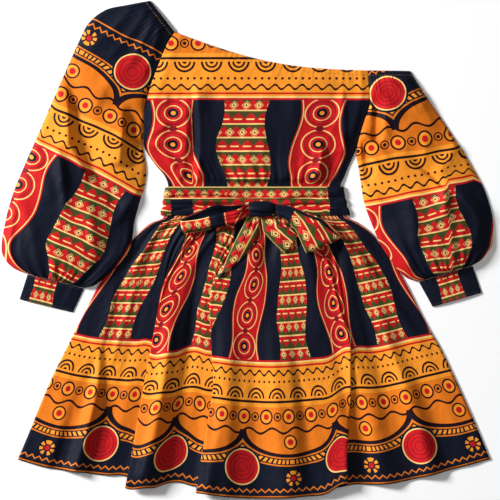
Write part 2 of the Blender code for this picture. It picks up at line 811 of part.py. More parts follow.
def loop_grid(rows, ground):
    """A loop of the bow: a band that leaves the knot below, turns, and comes back above."""
    shares = (0, 0.15, 0.35, 0.55, 0.75, 0.9, 1)
    lower, upper = [], []
    for index, row in enumerate(between(rows, 2)):
        low, high = [], []
        for share in shares:
            x = row.left_x + (row.right_x - row.left_x) * share
            y = row.left_y + (row.right_y - row.left_y) * share
            base = ground.height(x, y) + WALL / 2 + BOW_CLEARANCE
            low.append([x, y, base])
            high.append([x, y, base])
        low, high = np.array(low), np.array(high)
        if index < 2:
            low[:, 2] = NECK_LOWER
            high[:, 2] = NECK_UPPER
        else:
            level = low[:, 2].max()
            if index == 2:
                level = max(level, NECK_LOWER - 1)
            low[:, 2] = level
            high[:, 2] = level + FOLD_LAYER + row.puff * (0.35 + 0.65 * dome(np.array(shares)))
        lower.append(low)
        upper.append(high)
    end = rows[-1]
    before = rows[-2]
    middle_end = np.array([(end.left_x + end.right_x) / 2, (end.left_y + end.right_y) / 2])
    middle_before = np.array([(before.left_x + before.right_x) / 2, (before.left_y + before.right_y) / 2])
    outward = (middle_end - middle_before) / np.hypot(*(middle_end - middle_before))
    tip = (lower[-1] + upper[-1]) / 2
    reach = 3.5 * (1 + 0.8 * dome(np.array(shares), 0.5))
    tip[:, 0] += outward[0] * reach
    tip[:, 1] += outward[1] * reach
    return np.array(lower + [tip] + upper[::-1])


def knot_grid():
    """The knot's points: closed rings round the loops' necks, one for each step along X."""
    grid = []
    middle_y = (KNOT_BOTTOM + KNOT_TOP) / 2
    for share in (0, 0.1, 0.28, 0.5, 0.72, 0.9, 1):
        x = KNOT_LEFT + (KNOT_RIGHT - KNOT_LEFT) * share
        half = (KNOT_TOP - KNOT_BOTTOM) / 2 * (0.86 + 0.16 * dome(share, 0.6))
        bulge = 5.0 * dome(0.1 + 0.8 * share, 0.7)
        lean = 2.0 * (share - 0.5)
        ring = []
        middle_z = (KNOT_OVER + KNOT_UNDER) / 2
        for across in (-0.9, -0.6, -0.2, 0.2, 0.6, 0.9):
            crown = bulge * (1 - across * across) * (1 + 0.25 * math.cos(5 * across))
            ring.append([x + lean * across, middle_y + half * across, KNOT_OVER + crown])
        for rise in (0.75, 0.0, -0.75):
            height = middle_z + rise * (KNOT_OVER - KNOT_UNDER) / 2
            ring.append([x + lean, middle_y + half * (1 - 0.02 * abs(rise)), height])
        for across in (0.9, 0, -0.9):
            ring.append([x, middle_y + half * across, KNOT_UNDER])
        for rise in (-0.75, 0.0, 0.75):
            height = middle_z + rise * (KNOT_OVER - KNOT_UNDER) / 2
            ring.append([x - lean, middle_y - half * (1 - 0.02 * abs(rise)), height])
        grid.append(ring)
    return np.array(grid)


def build_dress():
    """Makes every piece of the dress."""
    dress = start_scene()
    bodice_front = loft(dress, "bodice_front", bodice_grid(front=True), PRINTED_RED)
    loft(dress, "bodice_back", bodice_grid(front=False), PRINTED_RED)
    skirt_front = loft(dress, "skirt_front", skirt_front_grid(), PRINTED_ORANGE)
    loft(dress, "skirt_back", skirt_back_grid(), PRINTED_ORANGE)
    left = sleeve_grid(LEFT_CAP, LEFT_ARM, -1)
    right = sleeve_grid(RIGHT_CAP, RIGHT_ARM, 1)
    loft(dress, "sleeve_left", left, PRINTED_ORANGE, joined_from=UNDERARM_CAP)
    loft(dress, "sleeve_right", right, PRINTED_ORANGE, joined_from=UNDERARM_CAP)
    loft(dress, "cuff_left", cuff_grid(LEFT_CUFF), PRINTED_NAVY, ring=True)
    loft(dress, "cuff_right", cuff_grid(RIGHT_CUFF), PRINTED_NAVY, ring=True)
    belt = loft(dress, "belt", belt_grid(), PRINTED_RED, ring=True)
    ground = Ground([belt, skirt_front, bodice_front])
    loft(dress, "bow_tail_left", tail_grid(LEFT_TAIL, ground), PRINTED_RED)
    loft(dress, "bow_tail_right", tail_grid(RIGHT_TAIL, ground), PRINTED_RED)
    loft(dress, "bow_loop_left", loop_grid(LEFT_LOOP, ground), PRINTED_RED)
    loft(dress, "bow_loop_right", loop_grid(RIGHT_LOOP, ground), PRINTED_RED)
    loft(dress, "bow_knot", knot_grid(), PRINTED_NAVY, ring=True)


build_dress()
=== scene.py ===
"""Dresses the off-shoulder dress: fine cloth on the solids' seams, print, stitches and studio.

The seams and their tables are those of the solids. Every piece of cloth is drawn through the same
points as a smooth thin shell, creased, and printed by a procedural material that reads the
cloth's own map. Lengths are millimetres in the tables and metres in Blender.
"""
import logging
import math
from dataclasses import dataclass
from enum import Enum
from typing import NamedTuple, Sequence

import bpy
import numpy as np
from bpy.types import ID, Material, Mesh, Node, NodeSocket, NodeTree, Object
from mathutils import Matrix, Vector
from mathutils.bvhtree import BVHTree

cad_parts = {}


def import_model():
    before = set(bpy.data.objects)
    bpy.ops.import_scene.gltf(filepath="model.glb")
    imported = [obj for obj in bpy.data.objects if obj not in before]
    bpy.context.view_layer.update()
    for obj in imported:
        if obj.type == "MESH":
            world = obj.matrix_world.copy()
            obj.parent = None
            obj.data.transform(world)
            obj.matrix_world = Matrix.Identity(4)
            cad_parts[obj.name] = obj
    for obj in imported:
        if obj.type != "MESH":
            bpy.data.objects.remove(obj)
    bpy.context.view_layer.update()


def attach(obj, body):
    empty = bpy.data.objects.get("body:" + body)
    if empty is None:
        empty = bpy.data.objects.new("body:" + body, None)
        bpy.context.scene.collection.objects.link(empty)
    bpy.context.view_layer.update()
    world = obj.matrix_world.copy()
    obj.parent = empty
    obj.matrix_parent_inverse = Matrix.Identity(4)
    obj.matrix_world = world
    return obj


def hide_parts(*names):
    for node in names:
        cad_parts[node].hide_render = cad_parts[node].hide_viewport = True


log = logging.getLogger("dress")

MM = 0.001
DEGREE = 180 / math.pi
CLOTH_MAP = "cloth"

# How thick the cloth is drawn, in millimetres
SHELL = 0.5

# Where the print moves more than this, in metres, and more than this many times as far as the
# cloth, two strips are pieced together
PRINT_JUMP = 0.008
PRINT_STRETCH = 2.5

# The solids' own values
WALL = 1.2
SEAM_GAP = 0.3
BACK_LEVEL = WALL / 2
LAYER = WALL + SEAM_GAP
FRONT_LEVEL = BACK_LEVEL + LAYER
ARM_LIFT = 3 * LAYER
UNDERARM_GAP = 2.4
CUFF_GAP = 1.3
BELT_LEVEL = BACK_LEVEL + 3 * LAYER + 0.3
FLARE_POINT = (7.0, 537.0)
FOLD_LAYER = 3.0
FOLD_RISE = 90.0
HEM_REACH = 1000.0
GATHER_PITCH = 4
GATHER_HEIGHT = 1.6
KNOT_LEFT, KNOT_RIGHT = 3.0, 47.0
KNOT_BOTTOM, KNOT_TOP = 61.0, 89.0
KNOT_X, KNOT_Y = (KNOT_LEFT + KNOT_RIGHT) / 2, (KNOT_BOTTOM + KNOT_TOP) / 2
BOW_CLEARANCE = 1.6
MIDDLE = (0.45, 0.61)

# The belt's edges, the line between its turns, and where the gathers above and below it start
BELT_TOP_Y = 119
BELT_BOTTOM_Y = 56
UPPER_TURN_Y = 94
BODICE_GATHERS_Y = 121
SKIRT_GATHERS_Y = 58

# How far a crease bends aside for its length, the depth of the neckline's elastic casing, and
# the fine columns of a cuff's front that lie clear of its edges
CREASE_BEND = 0.035
CASING = 9.0
CUFF_FRONT = slice(3, 78)

# How far a strip of the stripes runs there and back and where it starts, in millimetres, and the
# place along the print that is plain and dark and how far up it the sash was cut, in metres
STRIP = 138.0
STRIP_EDGE = 11.5
PLAIN_PLACE = 0.117
SASH_UP = 0.352


class BodiceRow(NamedTuple):
    """One line across the bodice, from its left seam to its right seam."""

    name: str
    left_x: float
    left_y: float
    right_x: float
    right_y: float
    sag: float
    swell: float
    left_lift: float
    right_lift: float
    over_belt: float


BODICE_ROWS = [
    BodiceRow("waist seam", -148, 90, 176, 90, 0, 0, 0, 0, 1),
    BodiceRow("top of the belt", -146.5, 119, 172.5, 119, 0, 0, 0, 0, 1),
    BodiceRow("fullness over the belt", -153, 136, 179, 134, 1, 4.5, 0, 0, 0.35),
    BodiceRow("below the arms", -171, 158, 187, 154, 2, 7, 0, 0, 0),
    BodiceRow("underarm points", -191, 191, 199, 180, 3, 8, 0.4, 0.4, 0),
    BodiceRow("low chest", -191, 222, 206, 205, 5, 9, 2, 2, 0),
    BodiceRow("chest", -190, 262, 216, 238, 8, 10, 3.5, 3.5, 0),
    BodiceRow("high chest", -182, 293, 225, 265, 11, 10, 4.5, 4, 0),
    BodiceRow("armhole", -167, 334, 226, 290, 15, 9, 4.5, 3.5, 0),
    BodiceRow("under the neckline", -147, 382, 224, 315, 19, 7, 3.5, 2.5, 0),
    BodiceRow("neckline", -134, 402, 223, 331, 20, 5, 2, 1.5, 0),
]
UNDERARM_ROW = 4


class CapRow(NamedTuple):
    """One line across a sleeve above the underarm: its inner end is on the bodice seam."""

    outer_x: float
    outer_y: float
    swell: float


class ArmRow(NamedTuple):
    """One line across a sleeve below the underarm, from its outer edge to its inner edge."""

    outer_x: float
    outer_y: float
    inner_x: float
    inner_y: float
    swell: float


LEFT_CAP = [
    CapRow(-180, 460, 2),
    CapRow(-223, 452, 5),
    CapRow(-262, 443, 8),
    CapRow(-293, 419, 10),
    CapRow(-312, 383, 12),
    CapRow(-334, 334, 13),
    CapRow(-362, 270, 13),
]
LEFT_ARM = [
    ArmRow(-391, 203, -187, 150, 14),
    ArmRow(-413, 153, -190, 118, 15),
    ArmRow(-434, 101, -200, 86, 17),
    ArmRow(-447, 53, -209, 51, 19),
    ArmRow(-454, 12, -214, 14, 20),
    ArmRow(-453, -8, -222, -8, 19),
    ArmRow(-443, -25, -240, -30, 17),
    ArmRow(-428, -37, -263, -51, 14),
    ArmRow(-417, -41, -283, -66, 11),
    ArmRow(-406, -45, -302, -71, 5),
]
RIGHT_CAP = [
    CapRow(301, 330, 2),
    CapRow(308, 318, 4),
    CapRow(325, 292, 7),
    CapRow(345, 262, 10),
    CapRow(366, 231, 12),
    CapRow(386, 200, 13),
    CapRow(400, 180, 13),
]
RIGHT_ARM = [
    ArmRow(419, 147, 206, 150, 14),
    ArmRow(436, 116, 211, 118, 15),
    ArmRow(447, 86, 215, 92, 17),
    ArmRow(454, 56, 222, 69, 19),
    ArmRow(455, 31, 232, 43, 20),
    ArmRow(452, 6, 245, 12, 19),
    ArmRow(445, -5, 262, -15, 17),
    ArmRow(436, -16, 279, -38, 14),
    ArmRow(427, -23, 296, -53, 11),
    ArmRow(416, -29, 317, -59, 5),
]
WIDEST_ARM_ROW = len(LEFT_CAP) + 4


class CuffEnds(NamedTuple):
    """The four corners of a flattened cuff: at its seam, then at its free edge."""

    outer: tuple[float, float]
    inner: tuple[float, float]
    free_outer: tuple[float, float]
    free_inner: tuple[float, float]


LEFT_CUFF = CuffEnds((-406, -45), (-302, -71), (-421, -92), (-323, -116))
RIGHT_CUFF = CuffEnds((416, -29), (317, -59), (433, -80), (343, -106))


class SkirtRow(NamedTuple):
    """One line across the skirt, with the share that it curves round the flare point."""

    name: str
    left_x: float
    left_y: float
    right_x: float
    right_y: float
    curve: float
    swell: float
    gather: float
    over_belt: float


SKIRT_ROWS = [
    SkirtRow("waist seam", -148, 89.4, 176, 89.4, 0, 0, 0, 1),
    SkirtRow("bottom of the belt", -154, 60, 184, 60, 0, 0, 0, 1),
    SkirtRow("high hip", -178, 49, 200, 52, 0.1, 3, 0.8, 0.5),
    SkirtRow("hip", -197, 34, 229, 31, 0.3, 6, 1.3, 0),
    SkirtRow("low hip", -212, 18, 246, 9, 0.5, 7, 1.3, 0),
    SkirtRow("sleeve ends", -232, -8, 264, -12, 0.7, 8, 1.1, 0),
    SkirtRow("high thigh", -254, -38, 279, -38, 0.85, 8, 0.8, 0),
    SkirtRow("thigh", -275, -66, 297, -70, 1, 8, 0.5, 0),
    SkirtRow("a third down", -293, -101, 316, -108, 1, 8, 0.3, 0),
    SkirtRow("above the folds", -313, -140, 336, -146, 1, 8, 0.15, 0),
    SkirtRow("half way down", -336, -186, 358, -184, 1, 8, 0, 0),
    SkirtRow("low folds", -360, -234, 381, -232, 1, 8, 0, 0),
    SkirtRow("two thirds down", -382, -285, 403, -280, 1, 7, 0, 0),
    SkirtRow("above the hem", -403, -337, 427, -335, 1, 6, 0, 0),
    SkirtRow("hem", -425, -389, 449, -388, 1, 5, 0, 0),
]


class SkirtFold(NamedTuple):
    """A fold that runs down the skirt. Angles are in degrees about the flare point."""

    name: str
    top_angle: float
    mid_angle: float
    hem_angle: float
    start: float
    overlap: float
    front_side: int
    under_radius: float
    over_radius: float


# front_side is 1 where the cloth on the right lies in front, and -1 where the left does
SKIRT_FOLDS = [
    SkirtFold("left fold", -14.9, -14.1, -13.4, 655, 22, 1, 984, 1005),
    SkirtFold("left of centre", -7.1, -5.0, -5.9, 620, 26, 1, 980, 992),
    SkirtFold("right fold", 14.5, 12.6, 10.4, 740, 22, -1, 990, 986),
]


class HemPoint(NamedTuple):
    """The hem's distance from the flare point at one angle."""

    angle: float
    radius: float


FRONT_HEM = [
    [HemPoint(-25.7, 1023), HemPoint(-21.8, 1013), HemPoint(-18.6, 1001), HemPoint(-13.4, 984)],
    [HemPoint(-13.4, 1005), HemPoint(-10.3, 993), HemPoint(-8.4, 976), HemPoint(-5.9, 980)],
    [HemPoint(-5.9, 992), HemPoint(0, 997), HemPoint(8.6, 999), HemPoint(10.4, 986)],
    [HemPoint(10.4, 990), HemPoint(15.2, 1004), HemPoint(21.9, 1015), HemPoint(25.6, 1025)],
]
BACK_HEM = [
    HemPoint(-25.7, 1023),
    HemPoint(-16, 988),
    HemPoint(-9, 968),
    HemPoint(-5, 970),
    HemPoint(2, 984),
    HemPoint(10.4, 976),
    HemPoint(16, 996),
    HemPoint(25.6, 1025),
]
PLAIN_COLUMNS = [7, 4, 7, 6]


class BeltRow(NamedTuple):
    """One line along the belt: its place, its two ends and its height over the flat run."""

    y: float
    left_x: float
    right_x: float
    height: float


BELT_ROWS = [
    BeltRow(116, -152, 178, 0),
    BeltRow(110, -152.5, 178.5, 3.2),
    BeltRow(101, -155, 180, 3),
    BeltRow(95, -154.5, 181, 0.4),
    BeltRow(88, -157, 184, 3.2),
    BeltRow(80, -155.5, 184, 0.6),
    BeltRow(73, -160, 188, 2.8),
    BeltRow(63, -160, 190, 0),
]


class BandRow(NamedTuple):
    """One line across a piece of the bow, from one edge of the band to the other."""

    left_x: float
    left_y: float
    right_x: float
    right_y: float
    puff: float


LEFT_TAIL = [
    BandRow(6, 75, 22, 75, 0),
    BandRow(2, 61, 22, 59, 0),
    BandRow(-11, 38, 20, 33, 2),
    BandRow(-26, 8, 9, 6, 3),
    BandRow(-37, -15, -8, -14, 3),
    BandRow(-46, -38, -30, -34, 2),
    BandRow(-55, -57, -50, -54, 0),
]
RIGHT_TAIL = [
    BandRow(24.5, 75, 42, 75, 0),
    BandRow(25, 59, 46, 59, 0),
    BandRow(30, 33, 69, 45, 3),
    BandRow(47, 14, 82, 36, 3),
    BandRow(70, -8, 94, 26, 1),
]
LEFT_LOOP = [
    BandRow(24.8, 66, 24.8, 84, 0),
    BandRow(3, 66, 3, 84, 0),
    BandRow(-20, 49, -21, 83, 3),
    BandRow(-54, 41, -62, 81, 5),
    BandRow(-85, 34, -96, 68, 6),
    BandRow(-112, 30, -120, 57, 5),
]
RIGHT_LOOP = [
    BandRow(25.2, 66, 25.2, 84, 0),
    BandRow(47, 66, 47, 84, 0),
    BandRow(70, 56, 78, 80, 4),
    BandRow(90, 34, 108, 68, 6),
    BandRow(99, 14, 140, 57, 7),
    BandRow(107, -4, 172, 26, 6),
]


def smooth(value: np.ndarray | float) -> np.ndarray:
    """Gives an even rise from 0 to 1 with level ends."""
    value = np.clip(value, 0.0, 1.0)
    return value * value * (3 - 2 * value)


def dome(share: np.ndarray | float, fullness: float = 0.75) -> np.ndarray:
    """Gives 0 at both edges of a panel and 1 in its middle."""
    return np.sin(np.pi * np.clip(share, 0, 1)) ** fullness


def round_flare(x: np.ndarray | float, y: np.ndarray | float) -> tuple[np.ndarray, np.ndarray]:
    """Gives the distance from the flare point and the angle about it, in degrees."""
    away, down = x - FLARE_POINT[0], FLARE_POINT[1] - y
    return np.hypot(away, down), np.degrees(np.arctan2(away, down))


def beside_line(
    line: NamedTuple, x: np.ndarray, y: np.ndarray
) -> tuple[np.ndarray, np.ndarray, float]:
    """Measures where places are beside a fold's or crease's straight line.

    Args:
        line: The fold or crease.
        x: Places across, in millimetres.
        y: Places along, in millimetres.

    Returns:
        The share of the way along it, the distance to its left, and its length.
    """
    run_x, run_y = line.end_x - line.start_x, line.end_y - line.start_y
    from_x, from_y = x - line.start_x, y - line.start_y
    length = math.hypot(run_x, run_y)
    along = (from_x * run_x + from_y * run_y) / length**2
    side = (from_y * run_x - from_x * run_y) / length
    return along, side, length


class SoftFold(NamedTuple):
    """A soft ridge (or trough, where its height is below 0) along a straight line."""

    start_x: float
    start_y: float
    end_x: float
    end_y: float
    width: float
    height: float

    def lift(self, x: np.ndarray, y: np.ndarray) -> np.ndarray:
        """Gives the height that it adds at each place.

        Args:
            x: Places across, in millimetres.
            y: Places along, in millimetres.

        Returns:
            The heights, in millimetres.
        """
        along, side, length = beside_line(self, x, y)
        away = np.hypot(side, (along - np.clip(along, 0, 1)) * length)
        return self.height * np.exp(-((away / self.width) ** 2))


BODICE_FOLDS = [
    SoftFold(-99, 300, -99, 118, 16, 4),
    SoftFold(-120, 290, -124, 140, 14, -3),
    SoftFold(138, 220, 126, 118, 16, 3),
    SoftFold(176, 290, 150, 220, 20, -3),
    SoftFold(30, 200, 40, 120, 24, 3),
]
SLEEVE_FOLDS = [
    SoftFold(-328, 297, -300, 170, 26, -5),
    SoftFold(-300, 170, -240, 70, 24, -4),
    SoftFold(-352, 180, -345, 118, 20, 5),
    SoftFold(-200, 430, -262, 340, 20, -3),
    SoftFold(-190, 225, -250, 260, 20, -4),
    SoftFold(310, 158, 364, 112, 20, -4),
    SoftFold(364, 120, 364, 62, 18, 5),
    SoftFold(392, 100, 425, 62, 18, 4),
    SoftFold(212, 240, 250, 200, 22, -4),
]
SKIRT_SOFT_FOLDS = [
    SoftFold(-230, -51, -272, -250, 22, -5),
    SoftFold(-272, -250, -291, -400, 22, -5),
    SoftFold(184, 8, 279, -112, 18, 4),
    SoftFold(279, -112, 323, -182, 18, 4),
    SoftFold(-119, -440, -110, -340, 22, -5),
    SoftFold(60, -160, 90, -450, 50, 5),
    SoftFold(290, -250, 330, -410, 34, 5),
    SoftFold(-350, -300, -375, -400, 26, 4),
]


class Crease(NamedTuple):
    """A fold with its own slope on each side. Left and right are seen from its start."""

    start_x: float
    start_y: float
    end_x: float
    end_y: float
    left_width: float
    right_width: float
    height: float
    start_strength: float = 0.4
    end_strength: float = 0.4

    def lift(self, x: np.ndarray, y: np.ndarray) -> np.ndarray:
        """Gives the height that it adds at each place.

        Args:
            x: Places across, in millimetres.
            y: Places along, in millimetres.

        Returns:
            The heights, in millimetres.
        """
        along, side, length = beside_line(self, x, y)
        side = side - CREASE_BEND * length * np.sin(np.pi * np.clip(along, 0, 1))
        width = np.where(side > 0, self.left_width, self.right_width)
        strength = self.start_strength + (self.end_strength - self.start_strength) * along
        strength = np.clip(strength + 0.3 * dome(along), 0, 1.3)
        fade = smooth((along * length + 16) / 26) * smooth(((1 - along) * length + 16) / 26)
        return self.height * np.exp(-((np.abs(side) / width) ** 1.6)) * fade * strength


BODICE_CREASES = [
    Crease(-103, 300, -103, 119, 3, 12, -7.5, 0.6, 1.0),
    Crease(-94, 300, -93, 119, 13, 4, 4.2, 0.5, 1.0),
    Crease(-112, 282, -124, 128, 6, 12, 3.0, 0.6, 0.6),
    Crease(-128, 300, -140, 190, 7, 9, 2.4, 0.6, 0.2),
    Crease(-150, 286, -160, 205, 6, 10, 2.2, 0.5, 0.2),
    Crease(-78, 268, -70, 140, 9, 13, 1.9, 0.3, 0.8),
    Crease(206, 276, 192, 198, 5, 16, 3.6, 0.4, 1.0),
    Crease(-186, 205, -96, 258, 9, 6, 3, 1.0, 0.1),
    Crease(-178, 190, -104, 214, 10, 7, 2.4, 1.0, 0.1),
    Crease(193, 190, 128, 246, 7, 10, 3, 1.0, 0.1),
    Crease(190, 178, 112, 196, 7, 10, 2.2, 1.0, 0.1),
    Crease(138, 206, 126, 117, 4, 12, 5.2, 0.3, 1.0),
    Crease(146, 200, 136, 119, 9, 3, -4.5, 0.3, 1.0),
    Crease(176, 290, 172, 130, 4, 10, 3.6, 0.5, 0.8),
    Crease(176, 288, 152, 204, 10, 7, 3, 0.8, 0.3),
    Crease(-60, 330, -20, 210, 16, 12, 1.8, 0.5, 0.3),
    Crease(30, 300, 8, 150, 14, 20, 2.1, 0.2, 0.8),
    Crease(86, 300, 70, 130, 15, 12, 2.1, 0.3, 0.9),
    Crease(-156, 350, -90, 318, 10, 14, 1.9, 0.8, 0.2),
]
LEFT_SLEEVE_CREASES = [
    Crease(-334, 336, -322, 286, 8, 12, -3.7, 0.4, 1.0),
    Crease(-322, 286, -320, 230, 16, 6, -7.2, 1.0, 1.0),
    Crease(-320, 230, -309, 190, 16, 6, -7.2, 1.0, 0.9),
    Crease(-309, 190, -282, 136, 16, 6, -6.2, 0.9, 0.8),
    Crease(-282, 136, -241, 79, 14, 5, -5.2, 0.8, 0.3),
    Crease(-336, 300, -330, 200, 6, 14, 5.0, 0.4, 1.0),
    Crease(-330, 200, -296, 128, 6, 14, 4.8, 1.0, 0.6),
    Crease(-232, 262, -236, 166, 6, 20, 5.6, 0.4, 0.8),
    Crease(-215, 256, -212, 160, 13, 8, -7.5, 0.6, 1.0),
    Crease(-352, 184, -342, 120, 9, 6, 4.9, 0.5, 0.9),
    Crease(-342, 120, -338, 60, 10, 7, 4.1, 0.9, 0.3),
    Crease(-186, 440, -262, 348, 9, 13, 3.2, 0.9, 0.2),
    Crease(-172, 430, -226, 330, 10, 9, 3.1, 0.9, 0.2),
    Crease(-162, 414, -196, 312, 8, 12, 2.9, 0.9, 0.2),
    Crease(-214, 446, -292, 372, 12, 9, 2.5, 0.8, 0.2),
    Crease(-196, 228, -262, 262, 9, 6, 4.1, 1.0, 0.2),
    Crease(-194, 210, -270, 214, 10, 7, 4.4, 1.0, 0.2),
    Crease(-196, 176, -262, 158, 8, 11, 3.7, 1.0, 0.2),
    Crease(-398, 168, -360, 96, 9, 14, 3.1, 0.5, 0.5),
    Crease(-424, 96, -396, 20, 12, 10, 2.9, 0.3, 0.7),
    Crease(-206, 104, -252, 42, 9, 12, 3.2, 0.9, 0.4),
    Crease(-300, 96, -286, 10, 12, 9, 3.2, 0.3, 0.8),
    Crease(-360, 330, -342, 262, 12, 8, 2.5, 0.4, 0.6),
    Crease(-252, 324, -286, 256, 12, 16, 2.5, 0.3, 0.4),
]
RIGHT_SLEEVE_CREASES = [
    Crease(235, 276, 236, 206, 11, 6, -7.5, 0.6, 1.0),
    Crease(214, 196, 222, 128, 11, 6, -7.0, 0.8, 0.8),
    Crease(252, 262, 250, 200, 14, 6, 3.4, 0.5, 0.8),
    Crease(310, 160, 364, 114, 7, 4, -6.4, 0.5, 1.0),
    Crease(364, 120, 362, 62, 6, 10, 5.1, 0.9, 0.3),
    Crease(392, 102, 426, 62, 8, 6, 4.4, 0.8, 0.6),
    Crease(222, 268, 262, 206, 8, 11, 3.4, 0.9, 0.2),
    Crease(206, 214, 262, 168, 9, 6, 4.4, 1.0, 0.2),
    Crease(204, 190, 252, 140, 7, 10, 3.9, 1.0, 0.2),
    Crease(228, 300, 290, 240, 12, 9, 3.1, 0.9, 0.2),
    Crease(258, 318, 316, 250, 10, 13, 2.9, 0.9, 0.2),
    Crease(286, 320, 344, 226, 9, 12, 2.7, 0.9, 0.2),
    Crease(384, 196, 352, 140, 12, 9, 2.9, 0.5, 0.5),
    Crease(216, 110, 266, 62, 12, 8, 3.4, 0.9, 0.3),
    Crease(300, 92, 310, 8, 10, 13, 3.4, 0.3, 0.8),
    Crease(430, 60, 412, -6, 10, 12, 2.9, 0.3, 0.8),
    Crease(262, 40, 300, -30, 11, 8, 2.9, 0.4, 0.9),
    Crease(330, 214, 322, 150, 13, 10, 2.5, 0.3, 0.6),
]
SKIRT_CREASES = [
    Crease(-160, 46, -246, -50, 7, 11, -3.2, 0.9, 0.3),
    Crease(-116, 54, -128, -10, 6, 9, 3.2, 1.0, 0.2),
    Crease(-60, 56, -66, 8, 6, 8, 2.9, 1.0, 0.2),
    Crease(152, 32, 186, 8, 6, 9, 3.8, 1.0, 0.9),
    Crease(186, 8, 280, -112, 7, 12, 4.5, 0.9, 0.8),
    Crease(280, -112, 324, -184, 8, 13, 3.5, 0.8, 0.2),
    Crease(176, 40, 250, -18, 7, 10, 3.2, 1.0, 0.3),
    Crease(-230, -54, -258, -186, 14, 6, -4.2, 0.4, 1.0),
    Crease(-258, -186, -284, -330, 15, 6, -4.8, 1.0, 0.9),
    Crease(-284, -330, -300, -424, 15, 8, -4.2, 0.9, 0.6),
    Crease(-246, -60, -274, -190, 5, 14, 3.6, 0.3, 1.0),
    Crease(-274, -190, -316, -420, 7, 16, 4.6, 1.0, 1.0),
    Crease(-84, -300, -74, -446, 20, 9, 4.2, 0.3, 1.0),
    Crease(60, -120, 84, -452, 22, 16, 3.8, 0.3, 0.9),
    Crease(-336, -250, -368, -398, 16, 12, 3.8, 0.3, 1.0),
    Crease(290, -230, 334, -414, 17, 13, 3.8, 0.3, 1.0),
    Crease(376, -270, 404, -394, 12, 15, 3.2, 0.3, 0.9),
    Crease(10, 20, 24, -140, 12, 16, 2.6, 0.8, 0.3),
    Crease(104, 30, 132, -160, 12, 15, 3, 0.8, 0.3),
    Crease(-40, -60, -60, -250, 16, 12, 2.4, 0.4, 0.5),
    Crease(214, -120, 240, -330, 14, 18, 2.7, 0.4, 0.5),
    Crease(-146, -90, -197, -424, 24, 9, 6.0, 0.2, 1.2),
    Crease(-174, -110, -236, -420, 10, 18, -3.6, 0.2, 1.0),
    Crease(-56, -90, -50, -270, 24, 9, 3.4, 0.2, 0.9),
    Crease(-50, -270, -80, -452, 26, 9, 4.4, 0.8, 1.1),
    Crease(-84, -270, -112, -446, 10, 20, -3.8, 0.4, 1.1),
    Crease(184, -180, 186, -312, 9, 22, 3.2, 0.2, 0.9),
    Crease(186, -312, 176, -446, 9, 24, 4.0, 0.8, 1.0),
    Crease(208, -230, 202, -440, 16, 10, -3.2, 0.3, 1.0),
]


class Flute(NamedTuple):
    """A soft wave that widens down the skirt. Angles are in degrees about the flare point."""

    top_angle: float
    hem_angle: float
    start: float
    left_width: float
    right_width: float
    height: float

    def lift(self, x: np.ndarray, y: np.ndarray) -> np.ndarray:
        """Gives the height that it adds at each place.

        Args:
            x: Places across, in millimetres.
            y: Places along, in millimetres.

        Returns:
            The heights, in millimetres.
        """
        radius, angle = round_flare(x, y)
        span = (radius - self.start) / (HEM_REACH - self.start)
        down = np.clip(span, 0, 1)
        middle = self.top_angle + (self.hem_angle - self.top_angle) * down
        side = np.radians(angle - middle) * radius
        width = np.where(side > 0, self.right_width, self.left_width) * (0.45 + 0.55 * down)
        growth = smooth((span + 0.12) / 0.5) * (0.55 + 0.45 * down)
        return self.height * growth * np.exp(-((np.abs(side) / width) ** 1.8))


FLUTES = [
    Flute(-24.0, -23.6, 720, 20, 12, 5.0),
    Flute(-21.5, -21.0, 640, 12, 16, -4.5),
    Flute(-19.5, -19.0, 560, 16, 11, 5.5),
    Flute(-17.6, -16.9, 600, 10, 15, -5.0),
    Flute(-12.0, -10.9, 660, 24, 14, 5.0),
    Flute(-9.6, -8.6, 560, 12, 18, -6.0),
    Flute(-3.0, -2.6, 640, 26, 16, 5.0),
    Flute(0.4, 0.7, 700, 16, 20, -4.5),
    Flute(3.0, 3.6, 620, 18, 24, 5.0),
    Flute(6.2, 6.8, 680, 14, 16, -4.5),
    Flute(12.2, 12.0, 700, 14, 20, -5.5),
    Flute(14.8, 14.4, 560, 18, 22, 5.5),
    Flute(17.4, 17.4, 620, 18, 12, -5.0),
    Flute(19.8, 19.6, 560, 14, 20, 5.5),
    Flute(22.2, 22.0, 640, 16, 12, -4.5),
    Flute(24.0, 23.9, 720, 12, 18, 4.5),
]
BELT_CREASES = [
    Crease(-156, 96, 0, 93, 2, 3, -2.0, 0.8, 1.0),
    Crease(46, 90, 178, 94, 3, 2, -2.0, 1.0, 0.8),
    Crease(-150, 68, -40, 80, 3, 3, -1.4, 0.6, 0.6),
    Crease(-150, 86, -44, 91, 3, 4, 1.3, 0.3, 0.9),
    Crease(-152, 78, -60, 72, 4, 3, 1.4, 0.9, 0.3),
    Crease(-30, 82, 2, 78, 3, 4, 1.2, 0.6, 1.0),
    Crease(-40, 98, 4, 92, 4, 3, 1.0, 0.3, 0.9),
    Crease(48, 92, 120, 97, 3, 4, 1.3, 1.0, 0.3),
    Crease(48, 80, 140, 86, 4, 3, 1.4, 1.0, 0.3),
    Crease(90, 72, 182, 76, 3, 4, 1.3, 0.3, 0.8),
    Crease(110, 108, 174, 104, 5, 4, 0.8, 0.4, 0.6),
    Crease(-146, 106, -70, 104, 5, 5, 0.7, 0.6, 0.3),
]


def clear_of_edges(share: np.ndarray, margin: float) -> np.ndarray:
    """Gives 0 at both edges of a panel and 1 from a margin inwards."""
    return smooth(share / margin) * smooth((1 - share) / margin)


def between_ends(row: NamedTuple, share: np.ndarray) -> tuple[np.ndarray, np.ndarray]:
    """Gives places between a row's left end and its right end.

    Args:
        row: A row of a table, with left_x, left_y, right_x and right_y.
        share: Shares of the way.

    Returns:
        The x and y of each place.
    """
    x = row.left_x + (row.right_x - row.left_x) * share
    y = row.left_y + (row.right_y - row.left_y) * share
    return x, y


